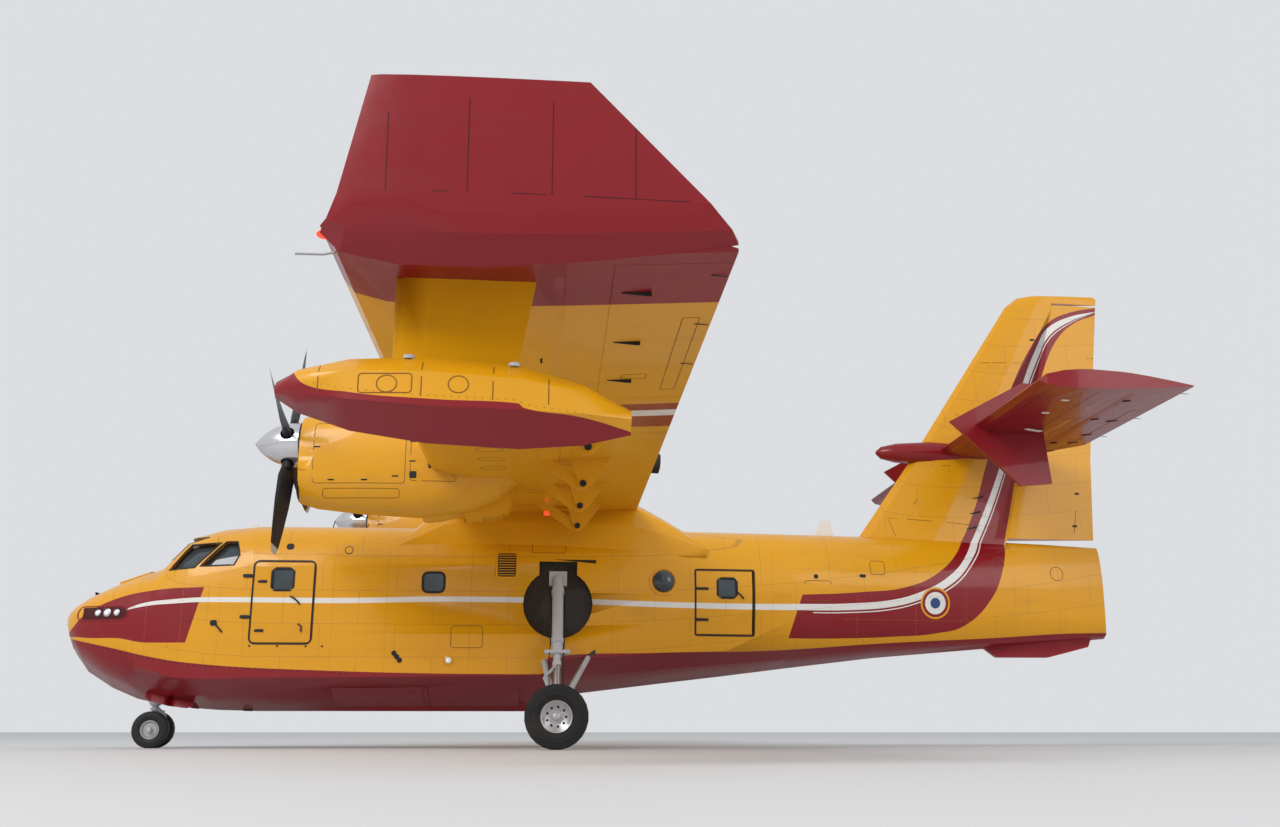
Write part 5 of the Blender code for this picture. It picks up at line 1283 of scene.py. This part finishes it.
def tail_fittings():
    for name, side in SIDES:
        seams, marks, pale = bmesh.new(), bmesh.new(), bmesh.new()
        low_skin, high_skin = under_tail(side), above_tail(side)
        for skin in (low_skin, high_skin):
            for path in (((-8.62, 0.55), (-8.62, 3.72)), ((-8.62, 3.72), (-8.78, 3.72))):
                add_strip(seams, [skin(x, y) for x, y in line(*path, 7)], 0.014, 0.003)
        for y in (0.62, 1.30, 1.95, 3.02):
            add_patch(marks, low_skin, (-8.70, y - 0.02), (-8.50, y + 0.02), 0.015, 0.012, 0.01, 3)
        for y in (1.45, 3.30, 4.55):
            add_patch(marks, low_skin, (-8.24, y - 0.025), (-8.10, y + 0.025), 0.02, 0.014, 0.01, 3)
        finish_piece("elevator_seams_" + name, seams, SEAM, "elevator_" + name)
        finish_piece("elevator_marks_" + name, marks, BLACK, "elevator_" + name)
        for y in (4.71, 3.87):
            add_patch(pale, low_skin, (-7.14, y - 0.04), (-7.00, y + 0.04), 0.038, 0.006, 0.01, 5)
        # This pale strip under the tailplane is painted light: a patch of light seen near the finlet, not a fitting.
        add_strip(pale, [low_skin(x, y) for x, y in line((-7.16, 2.72), (-7.52, 2.50), 3)], 0.10, 0.005)
        finish_piece("tail_drains_and_light_patch_" + name, pale, WHITE_TRIM_AND_LIGHT)
        bm = bmesh.new()
        for path in (((-6.62, 0.62), (-6.62, 5.20)), ((-7.40, 0.62), (-7.40, 5.20)), ((-6.62, 1.7), (-7.95, 1.7)),
                     ((-6.62, 3.45), (-7.95, 3.45))):
            add_strip(bm, [low_skin(x, y) for x, y in line(*path, 7)], 0.010, 0.002)
        finish_piece("tail_seams_" + name, bm, DARK_SEAM_AND_SHADE)
        bm = bmesh.new()
        for y in (1.6, 3.0, 4.7):
            spot, _ = touch(TAIL_TREE, (-12.0, side * y, 5.66), (1, 0, 0))
            add_tube(bm, [spot, spot + Vector((-0.13, 0, -0.01))], 0.005, 5)
        finish_piece("tail_wicks_" + name, bm, BLACK, "elevator_" + name)


rudder_fittings()
fin_fittings()
tail_fittings()


# Bow and cabin: bumper, lamp recess, bolts, vents, hinges, antennas, panes
def on_bow(y, z):
    """The stem's skin, found from straight ahead."""
    return touch(HULL_TREE, (12.0, y, z), (-1, 0, 0))


def level(points, x):
    """The height at a station along a line of points that runs aft."""
    for (x0, z0), (x1, z1) in zip(points, points[1:]):
        if x1 <= x <= x0:
            return z1 + (z0 - z1) * (x - x1) / (x0 - x1)
    return points[-1][1]


def bow_fittings():
    bm = bmesh.new()
    add_patch(bm, on_bow, (-0.13, 1.74), (0.13, 2.40), 0.07, 0.016, 0.02)
    finish_piece("stem_bumper", bm, SKIN)
    bm = bmesh.new()
    for y in (-0.06, 0.06):
        spot, _ = on_top(9.52, y)
        add_rod(bm, spot - Vector((0, 0, 0.03)), spot + Vector((0, 0, 0.07)), 0.030, segments=14)
    spot, _ = on_top(9.52, 0.0)
    add_rod(bm, spot + Vector((0, -0.13, 0.055)), spot + Vector((0, 0.13, 0.055)), 0.018, segments=10)
    add_patch(bm, on_top, (9.40, -0.12), (9.66, 0.12), 0.05, 0.008)
    for x, y in ((8.50, 0.20), (8.50, -0.20)):
        spot, _ = on_top(x, y)
        add_ball(bm, spot, 0.026, (1, 1, 1), 10)
    finish_piece("mooring_cleat", bm, BLACK)
    for name, side in SIDES:
        bm = bmesh.new()
        # The lamp recess is a flat near-black crimson plate: painted shade standing for the hollow.
        add_patch(bm, lambda x, z: on_side(x, z, side), (8.66, 2.215), (9.60, 2.425), 0.10, 0.003)
        finish_piece("lamp_recess_" + name, bm, DARK_SEAM_AND_SHADE)
        bm = bmesh.new()
        outline_strip(bm, lambda x, z: on_side(x, z, side), (8.64, 2.195), (9.62, 2.445), 0.12, 0.022,
                      0.008, 0.07)
        finish_piece("lamp_recess_rim_" + name, bm, RED)
        bm, rims = bmesh.new(), bmesh.new()
        for x, radius in ((8.84, 0.050), (9.02, 0.060), (9.20, 0.050)):
            spot, normal = on_side(x, 2.325, side)
            add_ball(bm, spot, radius, (1, 1, 1), 14)
            add_turned(rims, ((radius * 0.96, -0.01), (radius * 1.26, -0.01), (radius * 1.20, 0.02),
                              (radius, 0.024)), spot, normal, 20)
        finish_piece("bow_lamps_" + name, bm, LAMP)
        finish_piece("bow_lamp_rims_" + name, rims, STEEL)


def hull_bolts():
    """Dark bolts along the top of the crimson chine, and rows of rivets on the hull."""
    for name, side in SIDES:
        spots = [on_side(x, level(BELLY, x) - 0.035, side) for x in (9.25 - 0.105 * i for i in range(44))]
        add_fasteners("chine_bolts_" + name, spots, 0.013, 0.006, BLACK, sides=8)
        spots = []
        for x in (8.30, 7.66, 7.00, 5.04, 4.10, 2.62, 0.10, -2.84, -4.45, -5.60, -6.60, -7.60, -8.60):
            crown = 3.62 if x > -3 else 3.40
            crown = min(crown, 3.0 if x > 8 else (3.2 if x > 6.8 else crown))
            low = level(BELLY, x) + 0.06
            count = int((crown - low) / 0.055)
            for i in range(count):
                spots.append(on_side(x, low + 0.055 * i, side))
        for z, x0, x1 in ((3.32, 5.1, 2.3), (3.20, -2.9, -7.4), (1.98, 5.1, 1.95), (2.30, -4.2, -8.9)):
            for i in range(int((x0 - x1) / 0.06)):
                spots.append(on_side(x0 - 0.06 * i, z, side))
        add_fasteners("hull_rivets_" + name, spots, 0.008, 0.0025, RIVET, sides=6)


def cabin_fittings():
    skin = lambda x, z: on_side(x, z, 1)
    bm = bmesh.new()
    add_patch(bm, skin, (5.80, 3.44), (5.93, 3.55), 0.05, 0.012)
    add_patch(bm, skin, (6.455, 2.925), (6.63, 2.985), 0.028, 0.02)
    add_patch(bm, skin, (6.455, 2.205), (6.63, 2.265), 0.028, 0.02)
    add_strip(bm, [skin(x, z) for x, z in ((7.08, 2.17), (7.02, 2.08), (6.92, 1.97))], 0.030, 0.03)
    add_patch(bm, skin, (7.02, 2.08), (7.14, 2.18), 0.04, 0.008)
    for x in (6.43, 5.95, 5.46, 5.18):
        spot, _ = skin(x, 1.735)
        add_ball(bm, spot, 0.018, (1, 1, 1), 10)
    ring = [skin(4.82 + 0.07 * math.cos(a), 3.44 + 0.07 * math.sin(a)) for a in (math.tau * i / 20 for i in range(20))]
    add_strip(bm, ring, 0.014, 0.004, closed=True)
    finish_piece("cabin_marks_port", bm, BLACK)
    bm = bmesh.new()
    spots = [skin(x, z) for x, z in ((5.62, 2.12), (5.56, 2.08), (5.56, 1.98))]
    add_strip(bm, spots, 0.026, 0.026)
    finish_piece("front_door_lower_handle", bm, BLACK, "front_door")
    for name, side in SIDES:
        bm = bmesh.new()
        for x, z in ((3.93, 1.62), (3.88, 1.56), (3.83, 1.50)):
            add_patch(bm, lambda a, b: on_side(a, b, side), (x - 0.045, z - 0.045), (x + 0.045, z + 0.045),
                      0.04, 0.005, 0.01, 4)
        add_patch(bm, lambda a, b: on_side(a, b, side), (-3.70, 3.02), (-3.62, 3.10), 0.03, 0.006, 0.01, 4)
        add_patch(bm, lambda a, b: on_side(a, b, side), (-4.62, 3.06), (-4.50, 3.12), 0.02, 0.006, 0.01, 4)
        finish_piece("hull_drains_" + name, bm, BLACK)
        bm = bmesh.new()
        for low, high, corner in (((2.40, 1.72), (2.95, 2.10), 0.04), ((-3.95, 2.62), (-3.45, 2.98), 0.04),
                                  ((-5.0, 3.12), (-4.72, 3.38), 0.05), ((0.95, 3.42), (1.55, 3.60), 0.03),
                                  ((-8.62, 3.10), (-8.36, 3.36), 0.12), ((-7.42, 3.30), (-7.20, 3.52), 0.10)):
            outline_strip(bm, lambda a, b: on_side(a, b, side), low, high, corner, 0.012, 0.003, 0.15)
        finish_piece("hull_panel_seams_" + name, bm, SEAM)


def antennas():
    bm = bmesh.new()
    for x, y, length, height in ((-4.05, 0.0, 0.42, 0.34), (6.72, 0.20, 0.16, 0.10)):
        base, _ = on_top(x, y)
        low = base.z - 0.04
        add_prism(bm, [(x + length * 0.5, y - 0.014, low), (x + length * 0.10, y - 0.014, base.z + height),
                       (x - length * 0.28, y - 0.014, base.z + height), (x - length * 0.5, y - 0.014, low)],
                  (0, 0.028, 0))
    finish_piece("blade_antennas", bm, WHITE_TRIM_AND_LIGHT)
    bm = bmesh.new()
    for x, height in ((5.35, 0.17), (4.72, 0.12)):
        base, _ = on_top(x, 0.0)
        add_rod(bm, base - Vector((0, 0, 0.03)), base + Vector((-0.05, 0, height)), 0.014, 0.008, 10)
    base, _ = on_top(-5.0, 0.0)
    add_ball(bm, base, 0.09, (1.2, 0.8, 0.6), 16)
    finish_piece("whip_antennas", bm, BLACK)
    bm = bmesh.new()
    for side in (1, -1):
        spot, _ = under(1.30, side * 1.62, WING_TREE)
        add_ball(bm, spot, 0.05, (1.2, 1, 1), 14)
    finish_piece("wing_beacons", bm, RED_LAMP)
    bm = bmesh.new()
    spot, _ = under(6.66, 0.04)
    add_patch(bm, lambda x, y: under(x, y), (6.58, -0.05), (6.74, 0.05), 0.02, 0.006)
    add_patch(bm, lambda x, y: under(x, y), (1.34, -0.22), (1.46, 0.22), 0.03, 0.006)
    finish_piece("keel_drains", bm, BLACK)


PANES = (
    ((7.98, 3.08), (7.52, 3.12), (7.12, 3.56), (7.66, 3.54)),
    ((7.40, 3.14), (6.82, 3.16), (6.74, 3.34), (6.82, 3.58), (7.02, 3.58)),
)


def window_frames():
    """Thin dark seals round the flight deck's panes, and two wipers."""
    bm = bmesh.new()
    for side in (1, -1):
        for pane in PANES:
            middle = Vector((sum(p[0] for p in pane), sum(p[1] for p in pane))) / len(pane)
            path = [middle + (Vector(p) - middle) * 1.04 for p in pane]
            spots = [on_side(x, z, side) for x, z in dense([(p.x, p.y) for p in path], 0.12, closed=True)]
            add_strip(bm, spots, 0.030, 0.010, closed=True)
    finish_piece("side_pane_seals", bm, BLACK)
    bm = bmesh.new()
    for side in (1, -1):
        def front(y, z):
            return on_bow(side * y, z)
        path = [(0.04, 3.31), (0.73, 3.31), (0.73, 3.71), (0.04, 3.71)]
        add_strip(bm, [front(y, z) for y, z in dense(path, 0.12, closed=True)], 0.028, 0.010, closed=True)
        foot, way = front(0.36, 3.28)
        points = [foot + way * 0.03]
        for y, z in ((0.32, 3.36), (0.26, 3.46), (0.20, 3.56)):
            spot, way = touch(GLASS_TREE, (12.0, side * y, z), (-1, 0, 0))
            points.append(spot + way * 0.016)
        add_tube(bm, points, 0.009, 6)
    finish_piece("windscreen_seals_and_wipers", bm, BLACK)


def flight_deck_inside():
    bm = bmesh.new()
    for side in (1, -1):
        y = side * 0.46
        add_rod(bm, (7.56, y, 1.74), (7.50, y, 2.36), 0.025, segments=10)
        add_tube(bm, [(7.49, y - 0.16, 2.48), (7.50, y - 0.13, 2.36), (7.50, y, 2.34), (7.50, y + 0.13, 2.36),
                      (7.49, y + 0.16, 2.48)], 0.016, 8)
    add_box(bm, (7.10, -0.10, 1.72), (7.60, 0.10, 2.22))
    for i in range(4):
        y = -0.06 + 0.04 * i
        add_rod(bm, (7.36, y, 2.20), (7.32, y, 2.36), 0.008, segments=6)
        add_ball(bm, (7.32, y, 2.37), 0.016, (1, 1, 1), 8)
    finish_piece("controls", bm, BLACK)
    bm = bmesh.new()
    for side in (1, -1):
        y = side * 0.46
        add_box(bm, (6.54, y - 0.15, 2.86), (6.64, y + 0.15, 3.06))
        bmesh.ops.recalc_face_normals(bm, faces=bm.faces)
    bmesh.ops.bevel(bm, geom=bm.edges[:], offset=0.03, segments=2, affect="EDGES")
    finish_piece("headrests", bm, FABRIC)
    bm = bmesh.new()
    for y in (-0.70, -0.42, -0.14, 0.14, 0.42, 0.70):
        add_box(bm, (7.765, y - 0.11, 2.52), (7.80, y + 0.11, 2.74))
    finish_piece("instrument_screens", bm, DEEP_GLASS)


GLASS_TREE = skin_tree(["cockpit_glazing"])
bow_fittings()
hull_bolts()
cabin_fittings()
antennas()
window_frames()
flight_deck_inside()


# Floats and winglets: seams, covers, rings, rivets and caps
FLOAT_TREE = skin_tree(on_both("float"))
WINGLET_TREE = skin_tree(on_both("winglet"))
FLOAT_Y = 13.30


def float_fittings():
    for name, side in SIDES:
        bm = bmesh.new()
        for face in (1, -1):
            def skin(x, z):
                return touch(FLOAT_TREE, (x, side * FLOAT_Y + face * 1.5, z), (0, -face, 0))
            for x in (2.61, 2.01):
                ring = [skin(x + 0.085 * math.cos(a), 3.13 + 0.075 * math.sin(a))
                        for a in (math.tau * i / 20 for i in range(20))]
                add_strip(bm, ring, 0.010, 0.003, closed=True)
            for x, low, high in ((3.20, 3.08, 3.32), (2.32, 3.02, 3.34), (1.72, 3.00, 3.32), (1.25, 2.98, 3.22)):
                add_strip(bm, [skin(x, low + (high - low) * t / 4) for t in range(5)], 0.010, 0.003)
            outline_strip(bm, skin, (2.40, 3.05), (2.85, 3.22), 0.03, 0.010, 0.003, 0.1)
        finish_piece("float_seams_" + name, bm, SEAM)
        spots = []
        for face in (1, -1):
            for i in range(38):
                x = 3.30 - 0.065 * i
                spots.append(touch(FLOAT_TREE, (x, side * FLOAT_Y + face * 1.5, level(FLOAT_EDGE[::-1], x) + 0.03),
                                   (0, -face, 0)))
        add_fasteners("float_rivets_" + name, spots, 0.007, 0.003, RIVET, sides=6)
        bm = bmesh.new()
        for x in (2.45, 1.55):
            spot, _ = touch(FLOAT_TREE, (x, side * (FLOAT_Y + 0.22), 3.9), (0, 0, -1))
            add_rod(bm, spot - Vector((0, 0, 0.01)), spot + Vector((0, 0, 0.02)), 0.05, segments=16)
        finish_piece("float_caps_" + name, bm, GEAR)


def winglet_seams():
    for name, side in SIDES:
        bm = bmesh.new()
        for face, start in ((1, 18.0), (-1, 13.96)):
            def skin(x, z):
                return touch(WINGLET_TREE, (x, side * start, z), (0, -side * face, 0))
            for x, low, high in ((2.62, 4.62, 5.30), (1.95, 4.62, 5.45), (1.25, 4.62, 5.45), (0.55, 4.62, 5.25)):
                add_strip(bm, [skin(x, low + (high - low) * t / 4) for t in range(5)], 0.010, 0.002)
            add_strip(bm, [skin(x, 4.62) for x in (2.9, 2.2, 1.5, 0.8, 0.1)], 0.010, 0.002)
        finish_piece("winglet_seams_" + name, bm, DARK_SEAM_AND_SHADE)


float_fittings()
winglet_seams()


# Floor, backdrop, light and camera
def studio():
    material, n, shader, position = finish_material("studio_floor", 0.75)
    shader.inputs["Base Color"].default_value = (0.62, 0.62, 0.62, 1.0)
    bm = bmesh.new()
    bmesh.ops.create_grid(bm, x_segments=1, y_segments=1, size=260.0)
    mesh = bpy.data.meshes.new("studio_floor")
    bm.to_mesh(mesh)
    bm.free()
    mesh.materials.append(material)
    floor = bpy.data.objects.new("studio_floor", mesh)
    floor.location.z = LOW.z
    bpy.context.collection.objects.link(floor)
    world = bpy.data.worlds.new("studio_air")
    bpy.context.scene.world = world
    world.use_nodes = True
    background = world.node_tree.nodes["Background"]
    background.inputs["Color"].default_value = (0.95, 0.97, 1.0, 1.0)
    background.inputs["Strength"].default_value = 0.75


def soft_light(name, place, aim, size, power):
    lamp = bpy.data.lights.new(name, "AREA")
    lamp.shape = "DISK"
    lamp.size = size
    lamp.energy = power
    light = bpy.data.objects.new(name, lamp)
    light.location = place
    light.rotation_euler = (Vector(aim) - Vector(place)).to_track_quat("-Z", "Y").to_euler()
    bpy.context.collection.objects.link(light)


# The camera lies at floor level, as the photograph looks up from below
CAMERA_PLACE = (1.2, 24.0, 0.30)
CAMERA_AIM = (-0.48, 0.0, 6.35)
CAMERA_LENS = 35.5


def camera():
    data = bpy.data.cameras.new("camera")
    data.lens = CAMERA_LENS
    data.sensor_width = 36.0
    data.clip_end = 2000.0
    view = bpy.data.objects.new("camera", data)
    view.location = CAMERA_PLACE
    way = Vector(CAMERA_AIM) - Vector(CAMERA_PLACE)
    view.rotation_euler = way.to_track_quat("-Z", "Y").to_euler()
    bpy.context.collection.objects.link(view)
    bpy.context.scene.camera = view


studio()
soft_light("key_light", (26.0, 34.0, 30.0), (0, 0, 3), 22.0, 11000.0)
soft_light("fill_light", (-26.0, 30.0, 14.0), (0, 0, 3), 20.0, 2200.0)
camera()
bpy.context.scene.view_settings.view_transform = "Standard"
